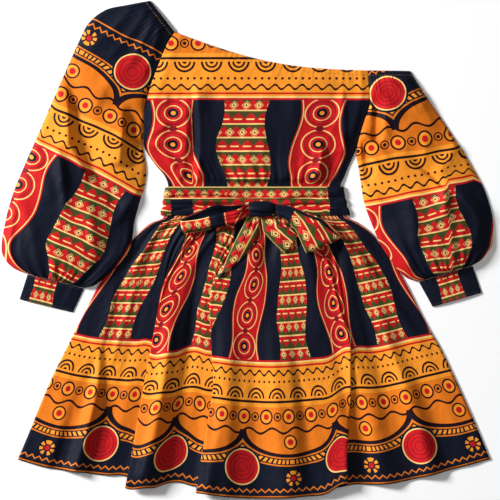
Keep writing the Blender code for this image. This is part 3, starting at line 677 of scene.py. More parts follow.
def distances(points: np.ndarray, axis: int) -> np.ndarray:
    """Measures how far each point is from the first one along an axis of a grid.

    Args:
        points: The grid.
        axis: The axis that the distances run along.

    Returns:
        The distances.
    """
    steps = np.linalg.norm(np.diff(points, axis=axis), axis=-1)
    start = np.zeros_like(np.take(steps, [0], axis=axis))
    return np.concatenate([start, np.cumsum(steps, axis=axis)], axis=axis)


def fold_heights(
    table: Sequence[SoftFold | Crease | Flute], x: np.ndarray, y: np.ndarray
) -> np.ndarray:
    """Adds up the heights of a table's folds, creases or flutes.

    Args:
        table: The table.
        x: Places across, in millimetres.
        y: Places along, in millimetres.

    Returns:
        The height that they add at each place.
    """
    return sum((fold.lift(x, y) for fold in table), np.zeros_like(x, dtype=float))


def kept_up(lift: np.ndarray, room: np.ndarray) -> np.ndarray:
    """Softens troughs so that the cloth never sinks into what lies under it.

    Args:
        lift: The height that folds add at each place.
        room: The free height under the cloth at each place.

    Returns:
        The height with its troughs made shallower.
    """
    room = np.maximum(room, 0.05)
    return np.where(lift < 0, room * (np.exp(np.minimum(lift, 0) / room) - 1), lift)


def waves(x: np.ndarray, y: np.ndarray, cell: float, seed: int) -> np.ndarray:
    """Makes smooth uneven hills and hollows.

    Args:
        x: Places across.
        y: Places along.
        cell: The usual distance between a hill and a hollow.
        seed: The pattern's number.

    Returns:
        A height from -1 to 1 at each place.
    """
    table = np.random.default_rng(seed).uniform(-1, 1, (61, 61))
    across, along = x / cell, y / cell
    left, low = np.floor(across).astype(int), np.floor(along).astype(int)
    right_share, top_share = smooth(across - left), smooth(along - low)
    corners = [
        table[(left + dx) % 61, (low + dy) % 61] for dx, dy in ((0, 0), (1, 0), (0, 1), (1, 1))
    ]
    lower = corners[0] + (corners[1] - corners[0]) * right_share
    upper = corners[2] + (corners[3] - corners[2]) * right_share
    return lower + (upper - lower) * top_share


def gathers(
    across: np.ndarray, away: np.ndarray, count: int, reach: float, height: float, seed: int
) -> np.ndarray:
    """Makes the uneven small folds that spread from a gathered seam.

    Args:
        across: Shares of the way along the seam, from 0 to 1.
        away: Distances from the seam, in millimetres.
        count: How many folds there are.
        reach: How far a long fold runs.
        height: How high a fold is at the seam.
        seed: The pattern's number.

    Returns:
        The height that the folds add at each place.
    """
    rng = np.random.default_rng(seed)
    total = np.zeros_like(across)
    for number in range(count):
        place = (number + 0.5 + rng.uniform(-0.38, 0.38)) / count
        width = rng.uniform(0.22, 0.42) / count
        run = reach * rng.uniform(0.35, 1.0)
        lean = rng.uniform(-0.4, 0.4) / count / reach
        spread = width * (1 + 0.8 * away / reach)
        side = (across - place - lean * away) / spread
        size = height * rng.uniform(0.55, 1.1)
        total = total + size * np.exp(-np.abs(side) ** 1.7) * np.exp(-((away / run) ** 1.5))
    return total


def drawn_through(points: np.ndarray, steps: int, closed: bool) -> np.ndarray:
    """Draws a smooth line through every column of points without overshooting them.

    Args:
        points: An array of rows, columns and values, the first three of which are the place.
        steps: How many steps each span is cut into.
        closed: Whether the last row joins the first.

    Returns:
        The finer array, with its rows along the first axis.
    """
    if closed:
        padded = np.concatenate([points[-1:], points, points[:2]])
    else:
        padded = np.concatenate(
            [2 * points[:1] - points[1:2], points, 2 * points[-1:] - points[-2:-1]]
        )
    spans = np.linalg.norm(np.diff(padded[..., :3], axis=0), axis=2)[..., None]
    spans = np.sqrt(np.maximum(spans, 1e-3))
    rows = []
    for i in range(len(padded) - 3):
        before, start, end, after = padded[i : i + 4]
        first, span, last = spans[i : i + 3]
        middle = (end - start) / span
        leave = span * ((start - before) / first - (end - before) / (first + span) + middle)
        arrive = span * (middle - (after - start) / (span + last) + (after - end) / last)
        for step in range(steps):
            share = step / steps
            square, cube = share**2, share**3
            rows.append(
                (2 * cube - 3 * square + 1) * start
                + (cube - 2 * square + share) * leave
                + (3 * square - 2 * cube) * end
                + (cube - square) * arrive
            )
    if not closed:
        rows.append(padded[-2])
    return np.array(rows)


@dataclass
class Panel:
    """A piece of cloth as rows of points, with the place of each point on the uncut cloth.

    Attributes:
        points: Rows and columns of places, in millimetres.
        cloth: Rows and columns of places on the cloth, in metres: along the weft and the warp.
        ring: Whether every row closes on itself.
        joined_from: The row from which a row's last point is its first, where there is one.
        pieced: Whether strips of it are pieced together, so that the print jumps there.
    """

    points: np.ndarray
    cloth: np.ndarray
    ring: bool = False
    joined_from: int | None = None
    pieced: bool = False

    def finer(self, across: int, down: int) -> "Panel":
        """Cuts the panel finer along smooth lines.

        Args:
            across: Steps for each span along a row.
            down: Steps for each span from row to row.

        Returns:
            The finer panel.
        """
        values = np.concatenate([self.points, self.cloth], axis=2)
        values = drawn_through(values, down, closed=False)
        values = drawn_through(values.transpose(1, 0, 2), across, self.ring).transpose(1, 0, 2)
        joined = None if self.joined_from is None else self.joined_from * down
        return Panel(values[..., :3].copy(), values[..., 3:5].copy(), self.ring, joined)

    def shares(self) -> tuple[np.ndarray, np.ndarray]:
        """Gives each point's share of the way along its row, and from the first row to the last.

        Returns:
            The shares across and the shares down.
        """
        rows, columns = self.points.shape[:2]
        across = np.tile(np.linspace(0, 1, columns), (rows, 1))
        down = np.tile(np.linspace(0, 1, rows)[:, None], (1, columns))
        return across, down

    def runs_down(self) -> np.ndarray:
        """Gives each point's distance from the first row along its column, in millimetres."""
        return distances(self.points, 0)

    def faces(self) -> np.ndarray:
        """Gives the corner numbers of each face.

        Returns:
            Four corner numbers for each face.
        """
        rows, columns = self.points.shape[:2]
        numbers = np.arange(rows * columns).reshape(rows, columns)
        if self.joined_from is not None:
            numbers[self.joined_from :, -1] = numbers[self.joined_from :, 0]
        if self.ring:
            numbers = np.hstack([numbers, numbers[:, :1]])
        corners = [numbers[:-1, :-1], numbers[:-1, 1:], numbers[1:, 1:], numbers[1:, :-1]]
        return np.stack(corners, axis=-1).reshape(-1, 4)

    def map_corners(self) -> np.ndarray:
        """Gives the cloth place of each face's corners, in the order of the faces.

        At a piecing, the strip before it runs on to the next column or row, so that the two
        meet at a clean line.

        Returns:
            Two values for each corner of each face, in metres.
        """
        cloth, points = self.cloth, self.points * MM
        if self.ring:
            closing = cloth[:, :1] + (cloth[:, -1:] - cloth[:, -2:-1])
            closing = np.where(np.abs(cloth[:, :1] - cloth[:, -1:]) < 0.02, cloth[:, :1], closing)
            cloth = np.concatenate([cloth, closing], axis=1)
            points = np.concatenate([points, points[:, :1]], axis=1)
        corners = [cloth[:-1, :-1], cloth[:-1, 1:], cloth[1:, 1:], cloth[1:, :-1]]
        corners = np.stack(corners, axis=2)
        if not self.pieced:
            return corners.reshape(-1, 2)
        along = corners[..., 0]
        drop = np.linalg.norm(np.diff(points, axis=0), axis=2)[:, :-1]
        step = np.abs(along[..., 3] - along[..., 0])
        torn = (step > PRINT_JUMP) & (step > PRINT_STRETCH * drop)
        along[..., 3] = np.where(torn, along[..., 0], along[..., 3])
        along[..., 2] = np.where(torn, along[..., 1], along[..., 2])
        length = np.linalg.norm(np.diff(points, axis=1), axis=2)[:-1]
        for near, far in ((0, 1), (3, 2)):
            step = np.abs(along[..., far] - along[..., near])
            torn = (step > PRINT_JUMP) & (step > PRINT_STRETCH * length)
            along[..., far] = np.where(torn, along[..., near] + length, along[..., far])
        return corners.reshape(-1, 2)

    def sewn(self, name: str, material: Material) -> Object:
        """Makes the thin shell of the panel.

        Args:
            name: The piece's name.
            material: The printed cloth.

        Returns:
            The shell's object, at the origin.
        """
        places = (self.points.reshape(-1, 3) - np.array([*MIDDLE, 0])) * MM
        faces = self.faces()
        used = np.unique(faces)
        renumbered = np.zeros(len(places), dtype=int)
        renumbered[used] = np.arange(len(used))
        mesh = bpy.data.meshes.new(name)
        mesh.from_pydata(places[used].tolist(), [], renumbered[faces].tolist())
        cloth_map = mesh.uv_layers.new(name=CLOTH_MAP)
        cloth_map.data.foreach_set("uv", self.map_corners().ravel())
        mesh.shade_smooth()
        mesh.materials.append(material)
        piece = linked(name, mesh)
        shell = piece.modifiers.new("cloth", "SOLIDIFY")
        shell.thickness = SHELL * MM
        shell.offset = 0.0
        piece.data = as_mesh(piece)
        piece.modifiers.clear()
        bpy.data.meshes.remove(mesh)
        piece.data.name = name
        return piece

    def normals(self) -> np.ndarray:
        """Gives the direction square to the cloth at each point, pointing up where it can.

        Returns:
            One direction of length 1 for each point.
        """
        along = np.gradient(self.points, axis=1)
        down = np.gradient(self.points, axis=0)
        square = np.cross(along, down)
        square = square / np.maximum(np.linalg.norm(square, axis=2, keepdims=True), 1e-9)
        return square * np.where(square[..., 2:] < 0, -1.0, 1.0)

    def line_down(self, distance: float, from_last: bool, lift: float) -> np.ndarray:
        """Finds the line on the cloth at one distance from its first or last row.

        Args:
            distance: The distance from that row, in millimetres.
            from_last: Whether it is measured from the last row.
            lift: How far the line stands off the cloth's middle.

        Returns:
            One point for each column, in millimetres.
        """
        raised = self.points + self.normals() * lift
        runs = self.runs_down()
        if from_last:
            runs = runs[-1:] - runs
            runs, raised = runs[::-1], raised[::-1]
        line = []
        for column in range(runs.shape[1]):
            spots = [np.interp(distance, runs[:, column], raised[:, column, k]) for k in range(3)]
            line.append(spots)
        return np.array(line)


def linked(name: str, data: ID) -> Object:
    """Makes an object of some data and links it to the scene.

    Args:
        name: The object's name.
        data: Its mesh, curve, lamp or camera.

    Returns:
        The object.
    """
    made = bpy.data.objects.new(name, data)
    bpy.context.scene.collection.objects.link(made)
    return made


def as_mesh(piece: Object) -> Mesh:
    """Gives a plain mesh of an object with its modifiers applied."""
    graph = bpy.context.evaluated_depsgraph_get()
    return bpy.data.meshes.new_from_object(piece.evaluated_get(graph))


def mixed(
    tree: NodeTree,
    factor: NodeSocket,
    under: NodeSocket | tuple[float, ...],
    over: tuple[float, ...],
) -> NodeSocket:
    """Mixes two colours.

    Args:
        tree: The material's nodes.
        factor: The share of the second colour.
        under: The first colour, or the socket that it comes from.
        over: The second colour.

    Returns:
        The mixed colour.
    """
    mix = tree.nodes.new("ShaderNodeMix")
    mix.data_type = "RGBA"
    tree.links.new(factor, mix.inputs["Factor"])
    if isinstance(under, NodeSocket):
        tree.links.new(under, mix.inputs["A"])
    else:
        mix.inputs["A"].default_value = under
    mix.inputs["B"].default_value = over
    return mix.outputs["Result"]


def noise(
    tree: NodeTree,
    place: NodeSocket,
    scale: float,
    detail: float = 2.0,
    distortion: float = 0.0,
) -> NodeSocket:
    """Gives a cloudy number from 0 to 1.

    Args:
        tree: The material's nodes.
        place: The place on the cloth.
        scale: How many clouds there are to a unit.
        detail: How fine they get.
        distortion: How much they are bent.

    Returns:
        The number's socket.
    """
    cloud = tree.nodes.new("ShaderNodeTexNoise")
    sizes = {"Scale": scale, "Detail": detail, "Distortion": distortion}
    for name, value in sizes.items():
        cloud.inputs[name].default_value = value
    tree.links.new(place, cloud.inputs["Vector"])
    return cloud.outputs["Fac"]


def new_material(name: str) -> tuple[Material, NodeTree, Node]:
    """Makes a material and gives it with its nodes and its shader.

    Args:
        name: The material's name.

    Returns:
        The material, its nodes and its shader.
    """
    made = bpy.data.materials.new(name)
    made.use_nodes = True
    return made, made.node_tree, made.node_tree.nodes["Principled BSDF"]


class Field:
    """A number that varies over the cloth, which sums are written with."""

    def __init__(self, tree: NodeTree, socket: NodeSocket) -> None:
        """Keeps the node tree and the socket that carries the number."""
        self.tree = tree
        self.socket = socket

    def does(self, operation: str, *others: "Field | float") -> "Field":
        """Adds one Math node.

        Args:
            operation: The node's operation.
            others: Its further inputs, fields or plain numbers.

        Returns:
            The field that comes out of it.
        """
        node = self.tree.nodes.new("ShaderNodeMath")
        node.operation = operation
        self.tree.links.new(self.socket, node.inputs[0])
        for place, other in enumerate(others, start=1):
            if isinstance(other, Field):
                self.tree.links.new(other.socket, node.inputs[place])
            else:
                node.inputs[place].default_value = other
        return Field(self.tree, node.outputs[0])

    def __add__(self, other: "Field | float") -> "Field":
        """Adds a field or a number."""
        return self.does("ADD", other)

    def __sub__(self, other: "Field | float") -> "Field":
        """Takes a field or a number away."""
        return self.does("SUBTRACT", other)

    def __mul__(self, other: "Field | float") -> "Field":
        """Multiplies by a field or a number. Of two masks, it keeps what both cover."""
        return self.does("MULTIPLY", other)

    def __or__(self, other: "Field") -> "Field":
        """Of two masks, keeps what either covers."""
        return self.does("MAXIMUM", other)

    def repeated(self, period: float) -> "Field":
        """Gives the remainder after whole periods."""
        return self.does("FLOORED_MODULO", period)

    def from_middle(self, period: float) -> "Field":
        """Gives the distance from the middle of each period."""
        return (self.repeated(period) - period / 2).does("ABSOLUTE")

    def under(self, limit: "Field | float") -> "Field":
        """Gives a mask of where the field is below a limit."""
        return self.does("LESS_THAN", limit)

    def over(self, limit: "Field | float") -> "Field":
        """Gives a mask of where the field is above a limit."""
        return self.does("GREATER_THAN", limit)

    def within(self, low: float, high: float) -> "Field":
        """Gives a mask of where the field lies between two limits."""
        return self.over(low) * self.under(high)

    def with_hypotenuse(self, other: "Field") -> "Field":
        """Gives the distance from two fields that are square to each other."""
        return (self * self + other * other).does("SQRT")

    def wave(self, period: float, size: float) -> "Field":
        """Gives a sine of the field with that period and size."""
        return (self * (2 * math.pi / period)).does("SINE") * size


class Ink(Enum):
    """The colours of the print, as linear red, green, blue and cover."""

    NAVY = (0.0034, 0.0050, 0.0140, 1)
    ORANGE = (0.860, 0.285, 0.022, 1)
    AMBER = (0.700, 0.170, 0.010, 1)
    RED = (0.500, 0.008, 0.011, 1)
    CRIMSON = (0.190, 0.005, 0.010, 1)
    OLIVE = (0.056, 0.056, 0.013, 1)
    CREAM = (0.840, 0.560, 0.190, 1)
    MAROON = (0.013, 0.002, 0.004, 1)


@dataclass(frozen=True)
class Thread:
    """Sewing thread.

    Attributes:
        name: The material's name.
        colour: Its linear colour.
    """

    name: str
    colour: tuple[float, float, float, float]

    def material(self) -> Material:
        """Makes the twisted thread's material, or finds it if it is there already.

        Returns:
            The material.
        """
        found = bpy.data.materials.get(self.name)
        if found is not None:
            return found
        made, tree, shader = new_material(self.name)
        place = tree.nodes.new("ShaderNodeTexCoord").outputs["Object"]
        darker = tuple(c * 0.7 for c in self.colour[:3]) + (1,)
        twisted = mixed(tree, noise(tree, place, 2600.0), darker, self.colour)
        tree.links.new(twisted, shader.inputs["Base Color"])
        shader.inputs["Roughness"].default_value = 0.6
        shader.inputs["Sheen Weight"].default_value = 0.2
        return made


@dataclass(frozen=True)
class PrintedCloth:
    """Crisp cotton with a bold border print that repeats along the cloth.

    Attributes:
        name: The material's name.
        border: How far the dark border reaches up from the cloth's edge, in millimetres.
        band: Where the orange band ends and the striped field starts.
        scallop: The repeat of the border's scallops.
        repeat: The repeat of the striped field.
        row: The height of one row of the stripes.
        half_strip: Half the usual width of a strip.
        notch: The repeat of the stripes' zigzag.
        medal: The repeat of the medals.
        arch: The repeat of the band's arches.
        arch_foot: Where the arches stand.
        ring_middle: How far up the rings lie.
        flower_middle: How far up the border's flowers lie.
    """

    name: str
    border: float = 128.0
    band: float = 250.0
    scallop: float = 200.0
    repeat: float = 284.0
    row: float = 25.0
    half_strip: float = 46.0
    notch: float = 23.0
    medal: float = 58.0
    arch: float = 50.0
    arch_foot: float = 186.0
    ring_middle: float = 152.0
    flower_middle: float = 36.0

    def material(self) -> Material:
        """Makes the cloth's material.

        Returns:
            The material, which reads the cloth map alone.
        """
        found = bpy.data.materials.get(self.name)
        if found is not None:
            return found
        made, tree, shader = new_material(self.name)
        cloth_map = tree.nodes.new("ShaderNodeUVMap")
        cloth_map.uv_map = CLOTH_MAP
        parts = tree.nodes.new("ShaderNodeSeparateXYZ")
        tree.links.new(cloth_map.outputs["UV"], parts.inputs["Vector"])
        along = Field(tree, parts.outputs["X"]) * 1000.0
        up = Field(tree, parts.outputs["Y"]) * 1000.0
        colour = self.printed(tree, along, up)
        colour = self.faded(tree, cloth_map.outputs["UV"], colour)
        tree.links.new(colour, shader.inputs["Base Color"])
        normal = self.weave(tree, cloth_map.outputs["UV"], along, up)
        tree.links.new(normal, shader.inputs["Normal"])
        shader.inputs["Roughness"].default_value = 0.6
        shader.inputs["Specular IOR Level"].default_value = 0.09
        shader.inputs["Sheen Weight"].default_value = 0.02
        shader.inputs["Sheen Roughness"].default_value = 0.45
        return made

    def printed(self, tree: NodeTree, along: Field, up: Field) -> NodeSocket:
        """Lays the inks of the whole print.

        Args:
            tree: The material's nodes.
            along: The place along the border, in millimetres.
            up: The distance from the cloth's edge, in millimetres.

        Returns:
            The print's colour.
        """
        colour = mixed(tree, up.over(self.band).socket, Ink.ORANGE.value, Ink.NAVY.value)
        inks = self.band_inks(along, up) + self.border_inks(along, up) + self.field_inks(along, up)
        for mask, ink in inks:
            colour = mixed(tree, mask.socket, colour, ink.value)
        return colour

    def band_inks(self, along: Field, up: Field) -> list[tuple[Field, Ink]]:
        """Gives the arches, rings and lines of the orange band, in the order that they print.

        Args:
            along: The place along the border.
            up: The distance from the cloth's edge.

        Returns:
            Masks with their inks.
        """
        in_band = up.under(self.band)
        arch_side = along.from_middle(self.arch)
        arch = arch_side.with_hypotenuse(up - self.arch_foot)
        above = up.over(self.arch_foot)
        arches = (arch.within(16.0, 20.0) | arch.within(8.4, 12.0) | arch.under(4.2)) * above
        ring_up = up - self.ring_middle
        ring = (along + self.arch / 2).from_middle(self.arch).with_hypotenuse(ring_up)
        small = arch_side.with_hypotenuse(ring_up)
        wavy = (up - 233.0 - along.wave(self.arch / 2, 4.2)).does("ABSOLUTE").under(2.1)
        low_wavy = (up - 126.0 - along.wave(self.arch, 5.0)).does("ABSOLUTE").under(2.2)
        beads = along.from_middle(self.arch / 4).with_hypotenuse(up - 217.0).under(2.5)
        sole = up.within(177.5, 182.0)
        return [
            (up.under(170.0), Ink.AMBER),
            (ring.under(11.0), Ink.ORANGE),
            (low_wavy, Ink.MAROON),
            (ring.within(11.0, 14.4), Ink.MAROON),
            (ring.under(5.6), Ink.RED),
            (small.under(3.4) | small.within(6.2, 8.6), Ink.MAROON),
            (arches | sole, Ink.MAROON),
            ((wavy | beads) * in_band, Ink.MAROON),
            (up.within(self.band - 7.0, self.band - 3.5), Ink.RED),
        ]

    def border_inks(self, along: Field, up: Field) -> list[tuple[Field, Ink]]:
        """Gives the scallops, discs and lines of the dark border, in the order that they print.

        Args:
            along: The place along the border.
            up: The distance from the cloth's edge.

        Returns:
            Masks with their inks.
        """
        half = self.scallop / 2
        side = along.from_middle(self.scallop)
        drop = (up * -1.0) + self.border
        scaled = (side * (1 / half)).with_hypotenuse(drop * (1 / 50.0))
        low = up.under(self.border)
        beads = (side.does("ARCTAN2", drop) * DEGREE).repeated(7.0).under(4.0)
        beads = beads * scaled.within(1.15, 1.30) * low
        lines = (scaled.within(1.06, 1.11) | scaled.within(1.34, 1.39)) * low
        cusp = (along + half).from_middle(self.scallop).with_hypotenuse(up - 58.0)
        flower = side.with_hypotenuse(up - 104.0)
        flower_up = up - self.flower_middle
        low_flower = side.with_hypotenuse(flower_up)
        petals = (side.does("ARCTAN2", flower_up) * DEGREE).repeated(45.0).under(27.0)
        petals = petals * low_flower.within(7.5, 14.5)
        teeth = (up - 11.0 - along.from_middle(14.0) * 0.9).does("ABSOLUTE").under(1.5)
        return [
            (scaled.within(0.93, 1.0) * low, Ink.MAROON),
            (low * scaled.over(1.0), Ink.NAVY),
            (beads, Ink.ORANGE),
            (lines, Ink.AMBER),
            (cusp.under(38.0), Ink.NAVY),
            (cusp.under(34.0), Ink.CREAM),
            (cusp.under(31.5), Ink.RED),
            (cusp.within(23.0, 24.6) | cusp.within(15.5, 17.0) | cusp.within(8.0, 9.4), Ink.CRIMSON),
            (flower.under(14.0) * low, Ink.MAROON),
            (flower.under(11.0) * low, Ink.ORANGE),
            (flower.under(6.0) * low, Ink.RED),
            (petals, Ink.ORANGE),
            (low_flower.under(5.0), Ink.RED),
            (teeth | up.within(2.0, 4.4), Ink.AMBER),
        ]

    def field_inks(self, along: Field, up: Field) -> list[tuple[Field, Ink]]:
        """Gives the strips of the striped field, in the order that they print.

        Args:
            along: The place along the border.
            up: The distance from the cloth's edge.

        Returns:
            Masks with their inks.
        """
        in_field = up.over(self.band)
        strip = along.repeated(self.repeat)
        sway = up.wave(164.0, 8.0)
        half = self.half_strip
        striped = (strip - half).does("ABSOLUTE").under(sway + half) * in_field
        edge = (strip - (self.repeat / 2 + half)).does("ABSOLUTE")
        medals, outline, inside = (
            edge.under(sway + (half - inset)) * in_field for inset in (0.0, 2.6, 4.6)
        )
        row = (up - self.band).repeated(self.row)
        double = (up - self.band).repeated(self.row * 2)
        notch = along.from_middle(self.notch)
        olive = row.under(notch * 0.95 + 5.4)
        gem = (along + self.notch / 2).from_middle(self.notch) + (row - 17.0).does("ABSOLUTE")
        gems = (gem.under(5.6) | gem.within(7.6, 8.8) * row.over(9.0)) * double.under(self.row)
        core = gem.under(2.4) * double.under(self.row)
        bars = notch.under(7.5) * (row - 17.5).does("ABSOLUTE").under(1.3)
        bars = bars * double.over(self.row)
        half_medal = self.medal / 2
        oval = edge.with_hypotenuse(((up - 20.0).repeated(self.medal) - half_medal) * 1.18)
        between_up = (up - (20.0 - half_medal)).repeated(self.medal) - half_medal
        between = edge.with_hypotenuse(between_up * 1.6).under(8.0)
        return [
            (striped, Ink.RED),
            (striped * olive, Ink.OLIVE),
            (striped * row.under(2.7), Ink.CREAM),
            (striped * gems, Ink.CREAM),
            (striped * core, Ink.OLIVE),
            (striped * bars, Ink.CREAM),
            (medals, Ink.RED),
            (outline, Ink.CREAM),
            (inside, Ink.RED),
            (medals * oval.within(30.0, 32.4), Ink.CREAM),
            (medals * oval.within(24.0, 26.0), Ink.CRIMSON),
            (medals * oval.within(15.0, 17.0), Ink.CREAM),
            (medals * oval.under(10.0), Ink.NAVY),
            (medals * oval.under(4.5), Ink.ORANGE),
            (medals * between, Ink.CRIMSON),
            (up.within(self.band, self.band + 3.4), Ink.CREAM),
            (up.within(self.band + 3.4, self.band + 7.0), Ink.RED),
        ]

    def faded(self, tree: NodeTree, place: NodeSocket, colour: NodeSocket) -> NodeSocket:
        """Makes the inks lie a little unevenly, as dye does in cotton.

        Args:
            tree: The material's nodes.
            place: The place on the cloth.
            colour: The print's colour.

        Returns:
            The uneven colour.
        """
        strength = Field(tree, noise(tree, place, 38.0, 4.0)) * 0.24 + 0.88
        tone = tree.nodes.new("ShaderNodeHueSaturation")
        tree.links.new(strength.socket, tone.inputs["Value"])
        tree.links.new(colour, tone.inputs["Color"])
        return tone.outputs["Color"]

    def weave(self, tree: NodeTree, place: NodeSocket, along: Field, up: Field) -> NodeSocket:
        """Raises the threads of the plain weave and the fine crumple of pressed cotton.

        Args:
            tree: The material's nodes.
            place: The place on the cloth.
            along: The place along the border, in millimetres.
            up: The distance from the cloth's edge, in millimetres.

        Returns:
            The direction that the surface faces.
        """
        threads = along.wave(0.9, 1.0) * up.wave(0.9, 1.0)
        creased = (Field(tree, noise(tree, place, 34.0, 1.5, 0.25)) - 0.5).does("ABSOLUTE")
        height = threads * 0.00003 - creased * 0.0034
        bump = tree.nodes.new("ShaderNodeBump")
        bump.inputs["Distance"].default_value = 1.0
        bump.inputs["Strength"].default_value = 0.6
        tree.links.new(height.socket, bump.inputs["Height"])
        return bump.outputs["Normal"]


DRESS_COTTON = PrintedCloth("printed_cotton")
NAVY_THREAD = Thread("navy_thread", (0.02, 0.03, 0.06, 1))
AMBER_THREAD = Thread("amber_thread", (0.62, 0.26, 0.05, 1))


class Finish(Enum):
    """The record's slots, one of which each piece keeps; every piece is drawn with the same printed
    cotton.
    """

    ORANGE = "printed_cloth_orange"
    RED = "printed_cloth_red"
    NAVY = "printed_cloth_navy"


class Cut(NamedTuple):
    """The flat size of a piece: its width and length in metres, and its area in square metres."""

    width: float
    length: float
    area: float


CUTS = {
    "bodice_front": Cut(0.44, 0.36, 0.098),
    "bodice_back": Cut(0.44, 0.36, 0.098),
    "skirt_front": Cut(0.98, 0.56, 0.36),
    "skirt_back": Cut(0.91, 0.56, 0.34),
    "sleeve_left": Cut(0.50, 0.60, 0.224),
    "sleeve_right": Cut(0.47, 0.43, 0.151),
    "cuff_left": Cut(0.216, 0.05, 0.0105),
    "cuff_right": Cut(0.216, 0.05, 0.0105),
    "belt": Cut(0.72, 0.062, 0.041),
    "bow_tail_left": Cut(0.035, 0.17, 0.0038),
    "bow_tail_right": Cut(0.045, 0.12, 0.0031),
    "bow_loop_left": Cut(0.045, 0.31, 0.0093),
    "bow_loop_right": Cut(0.068, 0.34, 0.0118),
    "bow_knot": Cut(0.085, 0.044, 0.0033),
}


@dataclass
class SewnPiece:
    """A finished piece of cloth and the solid that it stands for.

    Attributes:
        node: The solid's name.
        panel: The fine panel.
        slot: The record's slot. It is not used.
        rests_on: What it lies on. It is not used.
        seams: Lines of stitches on it.
    """

    node: str
    panel: Panel
    slot: Finish
    rests_on: tuple[str, ...]
    seams: tuple["StitchLine", ...] = ()

    @property
    def cut(self) -> tuple[float, float]:
        """Gives the width and length that it was cut to, in metres."""
        return CUTS[self.node][:2]

    @property
    def area(self) -> float:
        """Gives its flat area, in square metres."""
        return CUTS[self.node].area

    def finish(self) -> Object:
        """Makes the piece and its stitches, attaches them to the root and hides the solid.

        Returns:
            The piece.
        """
        piece = self.panel.sewn("cloth_" + self.node, DRESS_COTTON.material())
        threads = [seam.sewn(self.node, number) for number, seam in enumerate(self.seams)]
        for each in [piece, *threads]:
            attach(each, "root")
        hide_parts(self.node)
        self.area
        triangles = sum(len(face.vertices) - 2 for face in piece.data.polygons)
        log.info("%s: %d triangles, %d lines of stitches", piece.name, triangles, len(threads))
        return piece


@dataclass
class StitchLine:
    """A line of machine stitches.

    Attributes:
        path: The points that it follows, in millimetres.
        thread: The thread.
        pitch: The length of one stitch with its gap, in millimetres.
        length: The length of the thread that shows in one stitch.
        radius: The thread's radius.
    """

    path: np.ndarray
    thread: Thread
    pitch: float = 3.4
    length: float = 2.5
    radius: float = 0.3

    def tree(self) -> NodeTree:
        """Builds the node tree that sets stitches along a curve.

        Returns:
            The tree, with its sizes as named inputs in metres.
        """
        tree = bpy.data.node_groups.new("stitches", "GeometryNodeTree")
        tree.interface.new_socket("Geometry", in_out="INPUT", socket_type="NodeSocketGeometry")
        for name in ("Pitch", "Half length", "Radius"):
            tree.interface.new_socket(name, in_out="INPUT", socket_type="NodeSocketFloat")
        tree.interface.new_socket("Geometry", in_out="OUTPUT", socket_type="NodeSocketGeometry")
        given, result, spaced, stitch, size, placed, real, dyed = map(
            tree.nodes.new,
            (
                "NodeGroupInput",
                "NodeGroupOutput",
                "GeometryNodeCurveToPoints",
                "GeometryNodeMeshUVSphere",
                "ShaderNodeCombineXYZ",
                "GeometryNodeInstanceOnPoints",
                "GeometryNodeRealizeInstances",
                "GeometryNodeSetMaterial",
            ),
        )
        spaced.mode = "LENGTH"
        for name, value in {"Segments": 5, "Rings": 4, "Radius": 1.0}.items():
            stitch.inputs[name].default_value = value
        dyed.inputs["Material"].default_value = self.thread.material()
        for start, output, end, entry in (
            (given, "Geometry", spaced, "Curve"),
            (given, "Pitch", spaced, "Length"),
            (given, "Radius", size, "X"),
            (given, "Radius", size, "Y"),
            (given, "Half length", size, "Z"),
            (spaced, "Points", placed, "Points"),
            (spaced, "Rotation", placed, "Rotation"),
            (stitch, "Mesh", placed, "Instance"),
            (size, "Vector", placed, "Scale"),
            (placed, "Instances", real, "Geometry"),
            (real, "Geometry", dyed, "Geometry"),
            (dyed, "Geometry", result, "Geometry"),
        ):
            tree.links.new(start.outputs[output], end.inputs[entry])
        return tree

    def sewn(self, owner: str, number: int) -> Object:
        """Makes the stitches as a plain mesh.

        Args:
            owner: The name of the piece that they are on.
            number: Which of that piece's lines this is.

        Returns:
            The stitches' object.
        """
        places = (self.path - np.array([*MIDDLE, 0])) * MM
        curve = bpy.data.curves.new("stitch path", "CURVE")
        curve.dimensions = "3D"
        line = curve.splines.new("POLY")
        line.points.add(len(places) - 1)
        line.points.foreach_set("co", np.hstack([places, np.ones((len(places), 1))]).ravel())
        guide = linked("stitch path", curve)
        sewing = guide.modifiers.new("stitches", "NODES")
        sewing.node_group = self.tree()
        sizes = {"Pitch": self.pitch, "Half length": self.length / 2, "Radius": self.radius}
        for item in sewing.node_group.interface.items_tree:
            if item.in_out == "INPUT" and item.name in sizes:
                sewing[item.identifier] = sizes[item.name] * MM
        mesh = as_mesh(guide)
        mesh.shade_smooth()
        mesh.name = f"stitches_{owner}_{number + 1}"
        guide.modifiers.clear()
        bpy.data.objects.remove(guide, do_unlink=True)
        bpy.data.curves.remove(curve)
        return linked(mesh.name, mesh)


def seam_line(
    panel: Panel, distance: float, from_last: bool, thread: Thread, above: bool = True
) -> StitchLine:
    """Lays a line of stitches along an edge of a panel.

    Args:
        panel: The fine panel.
        distance: How far it is from the edge, in millimetres.
        from_last: Whether the edge is the panel's last row.
        thread: The thread.
        above: Whether they show on the side that faces up.

    Returns:
        The line of stitches.
    """
    path = panel.line_down(distance, from_last, SHELL / 2 + 0.06 if above else -SHELL / 2)
    return StitchLine(path, thread)


def hem_turn(away: np.ndarray, depth: float, height: float = 0.35) -> np.ndarray:
    """Raises the doubled cloth of a turned edge and presses it in along its stitches.

    Args:
        away: Distances from the edge, in millimetres.
        depth: How deep the turning is.
        height: How much the doubled cloth stands up.

    Returns:
        The height that it adds at each place.
    """
    doubled = height * smooth((depth + 1.2 - away) / 1.6)
    pressed = -0.45 * np.exp(-(((away - depth) / 1.3) ** 2))
    return doubled + pressed


